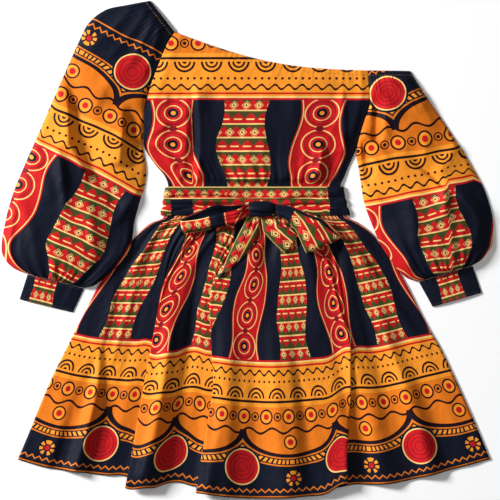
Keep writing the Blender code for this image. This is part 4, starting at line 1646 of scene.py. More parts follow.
@dataclass
class Bodice:
    """The front and back between the sleeves, gathered into the waist.

    Attributes:
        columns: Points along a row of the front.
        casing: The depth of the neckline's elastic casing, in millimetres.
        print_shift: Where the print's repeat starts, in metres.
        print_edge: The y at which the cloth's border would start, in millimetres.
        pleat_x: The x of the pleat's edge, in millimetres.
        pleat_step: How far the print steps at it, in metres.
    """

    columns: int = 15
    casing: float = CASING
    print_shift: float = 0.041
    print_edge: float = 533.0
    pleat_x: float = -103.0
    pleat_step: float = 0.017

    def rows(self, front: bool) -> np.ndarray:
        """Places the points of the front or the back, from the waist up to the neckline.

        Args:
            front: Whether the front is wanted.

        Returns:
            Rows of points, in millimetres.
        """
        across = np.linspace(0, 1, self.columns if front else 7)
        grid = np.zeros((len(BODICE_ROWS), len(across), 3))
        for i, row in enumerate(BODICE_ROWS):
            x, y = between_ends(row, across)
            y = y - row.sag * np.sin(np.pi * across)
            z = np.full(len(across), BACK_LEVEL + LAYER * row.over_belt)
            if front:
                seam = row.left_lift + (row.right_lift - row.left_lift) * across
                z = FRONT_LEVEL + LAYER * row.over_belt + seam + row.swell * dome(across)
                z = z + fold_heights(BODICE_FOLDS, x, y) * min(1.0, row.swell / 7)
            grid[i] = np.stack([x, y, z], axis=1)
        return grid

    def cloth(self, grid: np.ndarray) -> np.ndarray:
        """Lays the grid out on the uncut cloth, with the orange band across the chest.

        Args:
            grid: The panel's points.

        Returns:
            The place on the cloth of each point, in metres.
        """
        across = np.linspace(0, 1, grid.shape[1])
        underarm = BODICE_ROWS[UNDERARM_ROW]
        along = np.array(grid[..., 0])
        along[:UNDERARM_ROW] = underarm.left_x + (underarm.right_x - underarm.left_x) * across
        up = self.print_edge - grid[..., 1]
        return np.stack([along, up], axis=2) * MM + np.array([self.print_shift, 0])

    def front(self) -> SewnPiece:
        """Makes the front with its pleat, gathers and gathered neckline.

        Returns:
            The finished piece.
        """
        grid = self.rows(front=True)
        panel = Panel(grid, self.cloth(grid)).finer(12, 12)
        x, y = panel.points[..., 0], panel.points[..., 1]
        across, _ = panel.shares()
        from_waist = np.maximum(y - BODICE_GATHERS_Y, 0)
        runs = panel.runs_down()
        from_neck = runs[-1:] - runs
        inside = clear_of_edges(across, 0.07)
        clear_of_belt = smooth((y - BELT_TOP_Y) / 14)
        past_pleat = smooth((x - self.pleat_x) / 4) * smooth((330 - y) / 150)
        panel.cloth[..., 0] += self.pleat_step * past_pleat
        lift = fold_heights(BODICE_CREASES, x, y) * inside
        lift += gathers(across, from_waist, 24, 96, 4.4, 11) * inside
        seam = np.minimum(across, 1 - across) * 400
        lift += 1.8 * np.exp(-(((seam - 15) / 8) ** 2)) * smooth((y - 200) / 30)
        lift += 1.3 * waves(x, y * 0.6, 44, 3) * inside + 0.5 * waves(x, y * 0.6, 20, 4) * inside
        lift *= clear_of_belt
        lift = kept_up(lift, panel.points[..., 2] - FRONT_LEVEL - 0.4)
        ruffle = gathers(across, from_neck, 60, 26, 1.3, 12)
        lift += ruffle * smooth((from_neck + 1) / 3) * inside
        lift += hem_turn(from_neck, self.casing)
        panel.points[..., 2] += lift
        seams = (
            seam_line(panel, self.casing, True, AMBER_THREAD),
            seam_line(panel, 2.2, True, AMBER_THREAD),
        )
        return SewnPiece("bodice_front", panel, Finish.RED, ("bodice_back",), seams)

    def back(self) -> SewnPiece:
        """Makes the back, which lies flat on the surface.

        Returns:
            The finished piece.
        """
        grid = self.rows(front=False)
        cloth = self.cloth(grid)
        cloth[..., 0] += 0.13
        panel = Panel(grid, cloth).finer(12, 6)
        runs = panel.runs_down()
        panel.points[..., 2] += np.maximum(hem_turn(runs[-1:] - runs, self.casing, 0.2), -0.1)
        return SewnPiece("bodice_back", panel, Finish.RED, ("floor",))


@dataclass
class Skirt:
    """The flared skirt: the front with its three long folds, and the flat back.

    Attributes:
        hem_depth: How deep the turned hem is, in millimetres.
        print_shift: Where the print's repeat starts on the front, in metres.
        depth: How boldly its creases and flutes are drawn.
        half_angle: Half the angle that it opens by about the flare point, in degrees.
        back_columns: Points along a row of the back.
    """

    hem_depth: float = 12.0
    print_shift: float = 0.188
    depth: float = 1.5
    half_angle: float = 25.6
    back_columns: int = 13

    @staticmethod
    def ends(index: int) -> tuple[np.ndarray, np.ndarray]:
        """Gives the distance and angle about the flare point of a row's left and right end."""
        return round_flare(*between_ends(SKIRT_ROWS[index], np.array([0, 1])))

    def placed(
        self, index: int, share: np.ndarray, hems: np.ndarray
    ) -> tuple[np.ndarray, np.ndarray]:
        """Places a row between its straight line and its arc about the flare point.

        Args:
            index: Which row it is.
            share: Shares of the way from its left edge to its right edge.
            hems: How far the hem is from the flare point below each place.

        Returns:
            The x and y of each place.
        """
        row = SKIRT_ROWS[index]
        radii, angles = self.ends(index)
        last, _ = self.ends(-1)
        angle = np.radians(angles[0] + (angles[1] - angles[0]) * share)
        radius = radii[0] + (radii[1] - radii[0]) * share
        towards_hem = float(smooth((index - 5) / (len(SKIRT_ROWS) - 6)))
        radius = radius + (hems - last[0] - (last[1] - last[0]) * share) * towards_hem
        flat_x, flat_y = between_ends(row, share)
        x = flat_x + (FLARE_POINT[0] + radius * np.sin(angle) - flat_x) * row.curve
        y = flat_y + (FLARE_POINT[1] - radius * np.cos(angle) - flat_y) * row.curve
        return x, y

    @staticmethod
    def hem_radius(points: Sequence[HemPoint], angle: float) -> float:
        """Reads a hem table at one angle."""
        return float(np.interp(angle, [p.angle for p in points], [p.radius for p in points]))

    @staticmethod
    def fold_section(fold: SkirtFold, radius: float) -> tuple[np.ndarray, ...]:
        """Gives a fold's eight columns at one radius: side, height, hem radius and how far closed.

        Args:
            fold: The fold.
            radius: The distance from the flare point.

        Returns:
            The four, the first three with one value for each column.
        """
        turn = FOLD_LAYER / 2
        past = radius - fold.start
        closed = min(1.0, max(0.0, 1 + past / FOLD_RISE))
        span = max(0.0, past / (HEM_REACH - fold.start))
        overlap = FOLD_LAYER + (fold.overlap - FOLD_LAYER) * span
        flat_x = np.array([-12, -8.5, -5, -1.5, 2, 5.5, 9, 13])
        flat_z = np.array([0, 0.1, 0.3, 0.5, 0.7, 0.9, 1, 1]) * FOLD_LAYER
        folded_x = np.array([-12, overlap - turn, overlap, overlap - turn, turn, 0, turn, 13])
        folded_z = np.array([0, 0, 0.4, 0.87, 1.13, 1.6, 2, 1.9]) * FOLD_LAYER
        side = flat_x + (folded_x - flat_x) * closed
        up = flat_z + (folded_z - flat_z) * closed
        up = up * float(smooth((past + 2 * FOLD_RISE) / (2 * FOLD_RISE)))
        share = np.array([0, 0.1, 0.3, 0.5, 0.6, 0.9, 1, 1])
        hem = fold.under_radius + (fold.over_radius - fold.under_radius) * share
        if fold.front_side < 0:
            side, up, hem = -side[::-1], up[::-1], hem[::-1]
        return side, up, hem, closed

    def front_row(self, row: SkirtRow, index: int) -> np.ndarray:
        """Places the points of one row of the front, from its left edge to its right edge.

        Args:
            row: The row.
            index: Its number.

        Returns:
            The row's points, in millimetres.
        """
        radii, (left_angle, right_angle) = self.ends(index)
        middle_radius = radii.mean()
        angles, heights, hems, calm = [], [], [], []
        stops = [left_angle]
        sections, folded = [], []
        for fold in SKIRT_FOLDS:
            side, up, hem, closed = self.fold_section(fold, middle_radius)
            folded.append(closed)
            places = [fold.start, (fold.start + HEM_REACH) / 2, HEM_REACH]
            turns = [fold.top_angle, fold.mid_angle, fold.hem_angle]
            spread = np.interp(middle_radius, places, turns) + np.degrees(side / middle_radius)
            sections.append((spread, up, hem))
            stops.extend([spread[0], spread[-1]])
        stops.append(right_angle)
        for part, count in enumerate(PLAIN_COLUMNS):
            start, end = stops[2 * part], stops[2 * part + 1]
            first = 0 if part == 0 else 1
            last = count + 1 if part < len(PLAIN_COLUMNS) - 1 else count + 2
            start_up = sections[part - 1][1][-1] if part > 0 else 0.0
            end_up = sections[part][1][0] if part < len(sections) else 0.0
            for step in range(first, last):
                share = step / (count + 1)
                angle = start + (end - start) * share
                angles.append(angle)
                fall = smooth(share * 1.3)
                heights.append(start_up * (1 - fall) + end_up * smooth((share - 0.3) / 0.7))
                hems.append(self.hem_radius(FRONT_HEM[part], angle))
                calm.append(0.0)
            if part < len(sections):
                spread, up, hem = sections[part]
                angles.extend(spread)
                heights.extend(up)
                hems.extend(hem)
                calm.extend([folded[part]] * len(spread))
        angles, heights, hems = np.array(angles), np.array(heights), np.array(hems)
        even = np.linspace(0, 1, len(angles))
        share = (angles - left_angle) / (right_angle - left_angle)
        share = even + (share - even) * float(smooth((index - 1) / 5))
        x, y = self.placed(index, share, hems)
        clipped = np.clip(share, 0, 1)
        z = FRONT_LEVEL + LAYER * row.over_belt + row.swell * dome(clipped, 1)
        ripple = np.cos(2 * np.pi * np.arange(len(angles)) / GATHER_PITCH)
        z = z + GATHER_HEIGHT * row.gather * (1 + ripple * (1 - np.array(calm))) * dome(clipped, 1)
        z = z + heights * smooth((index - 3) / 4)
        z = z + fold_heights(SKIRT_SOFT_FOLDS, x, y) * dome(clipped, 1) * (row.swell / 8)
        return np.stack([x, y, z], axis=1)

    def back_row(self, row: SkirtRow, index: int) -> np.ndarray:
        """Places the points of one row of the back.

        Args:
            row: The row.
            index: Its number.

        Returns:
            The row's points, in millimetres.
        """
        _, (left_angle, right_angle) = self.ends(index)
        angles = np.linspace(left_angle, right_angle, self.back_columns)
        hems = np.array([self.hem_radius(BACK_HEM, angle) for angle in angles])
        x, y = self.placed(index, np.linspace(0, 1, self.back_columns), hems)
        z = np.full(self.back_columns, BACK_LEVEL + LAYER * row.over_belt)
        return np.stack([x, y, z], axis=1)

    def room(self, x: np.ndarray, y: np.ndarray) -> np.ndarray:
        """Gives the free height between the front's lowest layer and the back at each place.

        Args:
            x: Places across, in millimetres.
            y: Places along, in millimetres.

        Returns:
            The free heights, in millimetres.
        """
        radius, angle = round_flare(x, y)
        reaches = [self.ends(i)[0].mean() for i in range(len(SKIRT_ROWS))]
        swell = np.interp(radius, reaches, [row.swell for row in SKIRT_ROWS])
        share = (angle + self.half_angle) / (2 * self.half_angle)
        folds = fold_heights(SKIRT_SOFT_FOLDS, x, y) * dome(share, 1) * swell / 8
        return swell * dome(share, 1) + folds

    @staticmethod
    def cloth(grid: np.ndarray, shift: float) -> np.ndarray:
        """Lays the grid out on the uncut cloth: the hem is its edge, and the waist is gathered.

        Args:
            grid: The panel's points.
            shift: Where its middle lies along the print, in metres.

        Returns:
            The place on the cloth of each point, in metres.
        """
        widths = distances(grid, 1)
        along = (widths / widths[:, -1:] - 0.5) * widths[-1, -1] * MM + shift
        return np.stack([along, distances(grid[::-1], 0)[::-1] * MM], axis=2)

    def front(self) -> SewnPiece:
        """Makes the front with its folds, its gathers and its turned hem.

        Returns:
            The finished piece.
        """
        grid = np.array([self.front_row(row, i) for i, row in enumerate(SKIRT_ROWS)])
        panel = Panel(grid, self.cloth(grid, self.print_shift)).finer(5, 9)
        x, y = panel.points[..., 0], panel.points[..., 1]
        across, _ = panel.shares()
        runs = panel.runs_down()
        from_hem = runs[-1:] - runs
        inside = clear_of_edges(across, 0.08)
        below_belt = smooth((BELT_BOTTOM_Y - y) / 14)
        lift = fold_heights(SKIRT_CREASES, x, y) + fold_heights(FLUTES, x, y)
        lift *= self.depth * inside
        from_waist = np.maximum(SKIRT_GATHERS_Y - y, 0)
        lift += gathers(across, from_waist, 30, 200, 6.6, 21) * inside
        lift += 1.7 * waves(x, y * 0.4, 52, 5) * inside + 0.6 * waves(x, y * 0.4, 24, 6) * inside
        lift *= below_belt
        lift = kept_up(lift, self.room(x, y) - 0.4)
        lift += hem_turn(from_hem, self.hem_depth, 0.25)
        panel.points[..., 2] += lift
        seams = (seam_line(panel, self.hem_depth, True, NAVY_THREAD),)
        return SewnPiece("skirt_front", panel, Finish.ORANGE, ("skirt_back",), seams)

    def back(self) -> SewnPiece:
        """Makes the back, which lies flat on the surface.

        Returns:
            The finished piece.
        """
        grid = np.array([self.back_row(row, i) for i, row in enumerate(SKIRT_ROWS)])
        panel = Panel(grid, self.cloth(grid, self.print_shift + 0.1)).finer(8, 5)
        seams = (seam_line(panel, self.hem_depth, True, NAVY_THREAD, above=False),)
        return SewnPiece("skirt_back", panel, Finish.ORANGE, ("floor",), seams)


def skirt_edge_lift(x: float, y: float) -> float:
    """Gives how far a sleeve's underside rises where it lies over the skirt's side edge.

    Args:
        x: A place across, in millimetres.
        y: A place along.

    Returns:
        The rise, in millimetres.
    """
    side = "left" if x < 0 else "right"
    edge_y = [getattr(row, side + "_y") for row in SKIRT_ROWS][::-1]
    edge_x = [getattr(row, side + "_x") for row in SKIRT_ROWS][::-1]
    edge = np.interp(y, edge_y, edge_x)
    inside = x - edge if side == "left" else edge - x
    if y > SKIRT_ROWS[1].left_y:
        return 0.0
    return ARM_LIFT * float(smooth((inside + 30) / 24))


@dataclass
class Sleeve:
    """A long puffed sleeve and its cuff, pressed flat.

    Attributes:
        side: -1 for the left sleeve and 1 for the right.
        cap: Its rows above the underarm.
        arm: Its rows below the underarm.
        ends: Its cuff's corners.
        creases: Its creases.
        band_start: The place where the striped field of the print starts.
        grain: The direction of the cloth's warp.
        seed: The number of its gathers.
        cuff_gathers: How many waves the cuff's seam has.
        depth: How boldly its creases are drawn.
        cuff_start: Where the print starts at the cuff's outer end, in metres.
        cuff_up: How far up the print the cuff's seam is, in metres.
        start_up: How far up the print that place is, in metres.
        long_fold: The x and y of the top of a fold at which the print steps, and its slant.
        fold_step: How far the print steps there, in millimetres.
        front_shares: Shares of its width at which the points of its front lie.
        back_shares: Shares of its width at which the points of its underside lie.
    """

    side: int
    cap: list[CapRow]
    arm: list[ArmRow]
    ends: CuffEnds
    creases: list[Crease]
    band_start: tuple[float, float]
    grain: tuple[float, float]
    seed: int
    cuff_gathers: int = 5
    depth: float = 1.6
    cuff_start: float = -0.022
    cuff_up: float = 0.434
    start_up: float = 0.25
    long_fold: tuple[float, float, float] | None = None
    fold_step: float = 9.0
    front_shares: tuple[float, ...] = (
        0.035, 0.08, 0.15, 0.23, 0.31, 0.39, 0.47, 0.55, 0.63, 0.71, 0.79, 0.86, 0.92, 0.965,
    )
    back_shares: tuple[float, ...] = (0.97, 0.9, 0.7, 0.5, 0.3, 0.1, 0.03)

    @property
    def word(self) -> str:
        """Gives the side's name."""
        return "left" if self.side < 0 else "right"

    def rows(self) -> np.ndarray:
        """Places the sleeve's points, from the neckline to the cuff.

        Returns:
            Rows of points, in millimetres.
        """
        seams = BODICE_ROWS[UNDERARM_ROW:][::-1]
        count = len(self.cap) + len(self.arm)
        grid = []
        for i, row in enumerate([*self.cap, *self.arm]):
            if isinstance(row, CapRow):
                gap = UNDERARM_GAP if seams[i] is seams[-1] else SEAM_GAP * 2
                inner = (self.at_seam(seams[i], "x") + self.side * gap, self.at_seam(seams[i], "y"))
                lift = self.at_seam(seams[i], "lift")
            else:
                inner, lift = (row.inner_x, row.inner_y), 0.0
            gather = float(smooth((i - count + 5) / 4)) * 1.6
            ends = np.array([inner, (row.outer_x, row.outer_y)])
            grid.append(self.row_points(ends, row.swell, lift, i < len(self.cap) - 1, gather))
        return np.array(grid)

    def at_seam(self, seam: BodiceRow, value: str) -> float:
        """Reads a value of the bodice's seam on this sleeve's side."""
        return getattr(seam, f"{self.word}_{value}")

    def row_points(
        self, ends: np.ndarray, swell: float, lift: float, open_seam: bool, gather: float
    ) -> list[list[float]]:
        """Places one row: from the inner edge over the front to the outer edge, and back below.

        Args:
            ends: The inner and the outer edge, in millimetres.
            swell: How high the front is puffed.
            lift: How far the seam at the inner edge stands up.
            open_seam: Whether front and back stay apart at the inner edge.
            gather: How high the gathers into the cuff are here.

        Returns:
            The row's points, in millimetres.
        """
        inner, outer = ends
        middle = (FRONT_LEVEL + BACK_LEVEL) / 2
        closed = middle + skirt_edge_lift(*inner) + lift / 2
        points = [[*inner, FRONT_LEVEL + lift if open_seam else closed]]
        for share in self.front_shares:
            x, y = inner + (outer - inner) * share
            low = FRONT_LEVEL + skirt_edge_lift(x, y)
            z = low + lift * (1 - share) + swell * dome(share, 0.6)
            fold = fold_heights(SLEEVE_FOLDS, np.array([x]), np.array([y]))[0]
            z += fold * min(1.0, swell / 12) * dome(share)
            z += gather * math.cos(2 * math.pi * self.cuff_gathers * share) * dome(share, 0.5)
            points.append([x, y, max(z, low)])
        points.append([*outer, middle + skirt_edge_lift(*outer)])
        for share in self.back_shares:
            x, y = inner + (outer - inner) * share
            points.append([x, y, BACK_LEVEL + skirt_edge_lift(x, y)])
        points.append([*inner, BACK_LEVEL] if open_seam else list(points[0]))
        return points

    def cloth(self, grid: np.ndarray) -> np.ndarray:
        """Lays the grid out on the uncut cloth, along the sleeve's own grain.

        Args:
            grid: The sleeve's points.

        Returns:
            The place on the cloth of each point, in metres.
        """
        warp = np.array(self.grain) / math.hypot(*self.grain)
        weft = np.array([-warp[1], warp[0]])
        from_start = grid[..., :2] - np.array(self.band_start)
        along = from_start @ weft * MM
        up = self.start_up + from_start @ warp * MM
        widest = along[WIDEST_ARM_ROW].copy()
        along[WIDEST_ARM_ROW:] = widest
        return np.stack([along, up], axis=2)

    def tube(self) -> SewnPiece:
        """Makes the sleeve with its folds and the gathers into its cuff.

        Returns:
            The finished piece.
        """
        grid = self.rows()
        panel = Panel(grid, self.cloth(grid), joined_from=len(self.cap) - 1).finer(6, 9)
        x, y = panel.points[..., 0], panel.points[..., 1]
        across, _ = panel.shares()
        front_end = (len(self.front_shares) + 1) / (grid.shape[1] - 1)
        share = across / front_end
        inside = clear_of_edges(share, 0.1) * (share < 1)
        from_neck = panel.runs_down()
        from_cuff = from_neck[-1:] - from_neck
        body = smooth(from_neck / 20) * smooth(from_cuff / 8)
        lift = self.depth * fold_heights(self.creases, x, y) * body
        lift += gathers(share, from_cuff, 18, 96, 5.0, self.seed) * smooth((from_cuff + 2) / 8)
        lift += gathers(share, from_neck, 30, 60, 2.0, self.seed + 1) * smooth(from_neck / 3)
        lift += 1.8 * waves(x, y * 0.7, 50, self.seed + 2) * body
        lift += 0.6 * waves(x, y * 0.7, 22, self.seed + 3) * body
        lift *= inside
        bend = 3.2 * waves(x, y, 64, self.seed + 6) + 1.4 * waves(x, y, 27, self.seed + 7)
        if self.long_fold:
            fold_x, top_y, slant = self.long_fold
            past = smooth((x - fold_x + slant * (y - top_y)) / 5)
            bend += self.fold_step * past * smooth((top_y + 25 - y) / 40)
        panel.cloth[..., 1] += bend * inside * body * MM
        lifted_edge = np.vectorize(skirt_edge_lift)
        room = panel.points[..., 2] - FRONT_LEVEL - lifted_edge(x, y) - 0.4
        lift = kept_up(lift, room)
        lift += hem_turn(from_neck, CASING) * (share < 1) * smooth(share / 0.03)
        panel.points[..., 2] += lift
        front = Panel(panel.points[:, : int(front_end * panel.points.shape[1])], panel.cloth)
        seams = (seam_line(front, CASING, False, AMBER_THREAD),)
        node = "sleeve_" + self.word
        return SewnPiece(node, panel, Finish.ORANGE, ("floor", "skirt_front"), seams)

    def cuff_rows(self) -> np.ndarray:
        """Places the cuff's points: closed rings from its seam to its free edge.

        Returns:
            Rows of points, in millimetres.
        """
        outer, inner, free_outer, free_inner = np.array(self.ends)
        first = CUFF_GAP / math.hypot(*(free_outer - outer))
        grid = []
        for down in (first, 0.25, 0.5, 0.75, 1.0):
            start = inner + (free_inner - inner) * down
            run = outer + (free_outer - outer) * down - start
            middle = start + run / 2
            under = skirt_edge_lift(float(middle[0]), float(middle[1]))
            row = []
            for share in np.linspace(0, 1, 11):
                x, y = start + run * share
                puff = 3.0 * dome(share, 0.6) * (1 - 0.4 * down)
                wave = math.cos(2 * math.pi * self.cuff_gathers * share)
                puff += 0.8 * wave * dome(share) * (1 - down)
                row.append([x, y, FRONT_LEVEL + under + puff])
            row[0][2] = row[-1][2] = (FRONT_LEVEL + BACK_LEVEL) / 2 + under
            for share in (0.97, 0.7, 0.3, 0.03):
                x, y = start + run * share
                row.append([x, y, BACK_LEVEL + under])
            row[1][:2] = (start + run * 0.03).tolist()
            row[9][:2] = (start + run * 0.97).tolist()
            row[1][2] = row[9][2] = FRONT_LEVEL + under
            grid.append(row)
        return np.array(grid)

    def cuff(self) -> SewnPiece:
        """Makes the plain cuff with a line of stitches along each edge.

        Returns:
            The finished piece.
        """
        grid = self.cuff_rows()
        outer, inner = np.array([self.ends.outer, self.ends.inner])
        run = (inner - outer) / math.hypot(*(inner - outer))
        drop = np.array([run[1], -run[0]]) * (1 if self.side < 0 else -1)
        from_outer = grid[..., :2] - outer
        along = np.minimum(self.cuff_start + 1.9 * (from_outer @ run) * MM, PLAIN_PLACE)
        up = self.cuff_up + (from_outer @ drop) * MM
        panel = Panel(grid, np.stack([along, up], axis=2), ring=True).finer(8, 9)
        across, _ = panel.shares()
        share = across * grid.shape[1] / 10
        runs = panel.runs_down()
        front = clear_of_edges(share, 0.12) * (share < 1)
        lift = gathers(share, runs, 12, 26, 0.9, self.seed + 4) * smooth(runs / 3)
        lift += hem_turn(runs[-1:] - runs, 6.0, 0.3)
        panel.points[..., 2] += lift * front
        top = Panel(panel.points[:, CUFF_FRONT], panel.cloth)
        seams = (
            seam_line(top, 3.0, False, NAVY_THREAD),
            seam_line(top, 3.5, True, NAVY_THREAD),
        )
        return SewnPiece("cuff_" + self.word, panel, Finish.NAVY, ("floor",), seams)


@dataclass
class Belt:
    """The sash round the waist: a smooth turn above two crumpled ones.

    Attributes:
        columns: Points along its front.
        depth: How boldly its creases are drawn.
        turn_inset: How far the start and end of its turn at a side lie in, in millimetres.
        print_up: How far up the print its lower edge is, in millimetres.
        upper_piecings: The x of the two places where the upper turn is pieced.
        lower_piecings: The x of the three places where the lower turns are pieced.
        medal_place: Where the medals lie along the print, in metres.
        ends: The x of its left and right end.
    """

    columns: int = 15
    depth: float = 1.7
    turn_inset: float = 1.2
    print_up: float = 412.0
    upper_piecings: tuple[float, float] = (-41, 147)
    lower_piecings: tuple[float, float, float] = (-143, -102, 150)
    medal_place: float = 0.098
    ends: tuple[float, float] = (-150, 178)

    def rows(self) -> np.ndarray:
        """Places the belt's points: one closed loop round the waist for each line along it.

        Returns:
            Rows of points, in millimetres.
        """
        grid = []
        drop = BELT_LEVEL - BACK_LEVEL
        turn = [(self.turn_inset, 0.88), (0.0, 0.5), (self.turn_inset, 0.12)]
        for row in BELT_ROWS:
            front = []
            inner_left, inner_right = row.left_x + 4, row.right_x - 4
            for share in np.linspace(0, 1, self.columns):
                x = inner_left + (inner_right - inner_left) * share
                knot = math.exp(-(((x - KNOT_X) / 40) ** 4))
                height = row.height * (1 - 0.95 * knot) * dome(0.06 + 0.88 * share, 0.3)
                front.append([x, row.y, BELT_LEVEL + height])
            right_turn = [
                [row.right_x - inset, row.y, BACK_LEVEL + share * drop] for inset, share in turn
            ]
            back = [
                [inner_right + (inner_left - inner_right) * share, row.y, BACK_LEVEL]
                for share in np.linspace(0, 1, 7)
            ]
            left_turn = [
                [row.left_x + inset, row.y, BACK_LEVEL + share * drop]
                for inset, share in reversed(turn)
            ]
            grid.append(front + right_turn + back + left_turn)
        return np.array(grid)

    @staticmethod
    def striped(x: np.ndarray, start: float) -> np.ndarray:
        """Gives the print's place where a strip of the stripes runs there and back."""
        return (STRIP_EDGE + np.abs((x - start) % STRIP - STRIP / 2)) * MM

    def upper_turn(self, x: np.ndarray) -> np.ndarray:
        """Gives the print's place along the smooth upper turn, which is pieced on its left.

        Args:
            x: Places across, in millimetres.

        Returns:
            Places along the print, in metres.
        """
        first, second = self.upper_piecings
        left, middle = self.striped(x, -160), self.striped(x, -36)
        right = self.medal_place + (x - second) * 0.0009
        return np.where(x < first, left, np.where(x < second, middle, right))

    def lower_turn(self, x: np.ndarray) -> np.ndarray:
        """Gives the print's place along the crumpled lower turns.

        Args:
            x: Places across, in millimetres.

        Returns:
            Places along the print, in metres.
        """
        first, second, third = self.lower_piecings
        block = self.medal_place + (x - first) * 0.0008
        stripes = self.striped(x, -20)
        end = self.medal_place + 0.002 + (x - third) * 0.0007
        return np.where((x > first) & (x < second), block, np.where(x < third, stripes, end))

    def wrapped(self) -> SewnPiece:
        """Makes the belt with the creases of its crumpled turns.

        Returns:
            The finished piece.
        """
        grid = self.rows()
        panel = Panel(grid, grid[..., :2] * MM, ring=True).finer(6, 8)
        x, y = panel.points[..., 0], panel.points[..., 1]
        upper = y > UPPER_TURN_Y
        places = np.where(upper, self.upper_turn(x), self.lower_turn(x))
        drawn_in = np.exp(-np.abs(x - KNOT_X) / 55) * (80 - y) * 0.9
        crumpled = 2.6 * waves(x * 0.35, y, 9, 34) + 1.6 * waves(x, y, 9, 35) - drawn_in
        top, bottom = BELT_ROWS[0].y, BELT_ROWS[-1].y
        up = self.print_up - (y - bottom) * 1.15 + crumpled * smooth((UPPER_TURN_Y + 2 - y) / 4)
        panel.cloth = np.stack([places, up * MM], axis=2)
        panel.pieced = True
        front = smooth((panel.points[..., 2] - BELT_LEVEL + 0.6) / 0.8)
        ends = smooth((x - self.ends[0]) / 14) * smooth((self.ends[1] - x) / 14)
        knot = 1 - np.exp(-(((x - KNOT_X) / 34) ** 4))
        edges = smooth((y - bottom) / 5) * smooth((top - y) / 5)
        lift = self.depth * fold_heights(BELT_CREASES, x, y)
        lift += 0.7 * waves(x * 0.3, y, 7, 31) + 0.4 * waves(x * 0.5, y, 12, 32)
        near_knot = np.abs(x - KNOT_X) - 24
        lift += gathers((y - 60) / 40, np.maximum(near_knot, 0), 6, 90, 2.4, 33)
        panel.points[..., 2] += lift * front * ends * edges * (0.15 + 0.85 * knot)
        return SewnPiece("belt", panel, Finish.RED, ("bodice_front", "skirt_front"))


class Ground:
    """The top of the pieces that the bow lies on."""

    def __init__(self, panels: Sequence[Panel]) -> None:
        """Builds the search trees of the panels.

        Args:
            panels: The fine panels of the pieces.
        """
        self.trees = []
        for panel in panels:
            places = panel.points.reshape(-1, 3)
            self.trees.append(BVHTree.FromPolygons(places.tolist(), panel.faces().tolist()))

    def height(self, x: float, y: float, reach: float = 7.0) -> float:
        """Gives the highest point within reach of a place, in millimetres.

        Args:
            x: A place across, in millimetres.
            y: A place along.
            reach: How far round it to look.

        Returns:
            The height.
        """
        best = 0.0
        for turn in range(9):
            step = reach if turn else 0.0
            angle = turn * math.pi / 4
            place = Vector((x + step * math.cos(angle), y + step * math.sin(angle), 100.0))
            for tree in self.trees:
                hit = tree.ray_cast(place, Vector((0, 0, -1)))[0]
                if hit is not None:
                    best = max(best, hit.z + SHELL / 2)
        return best


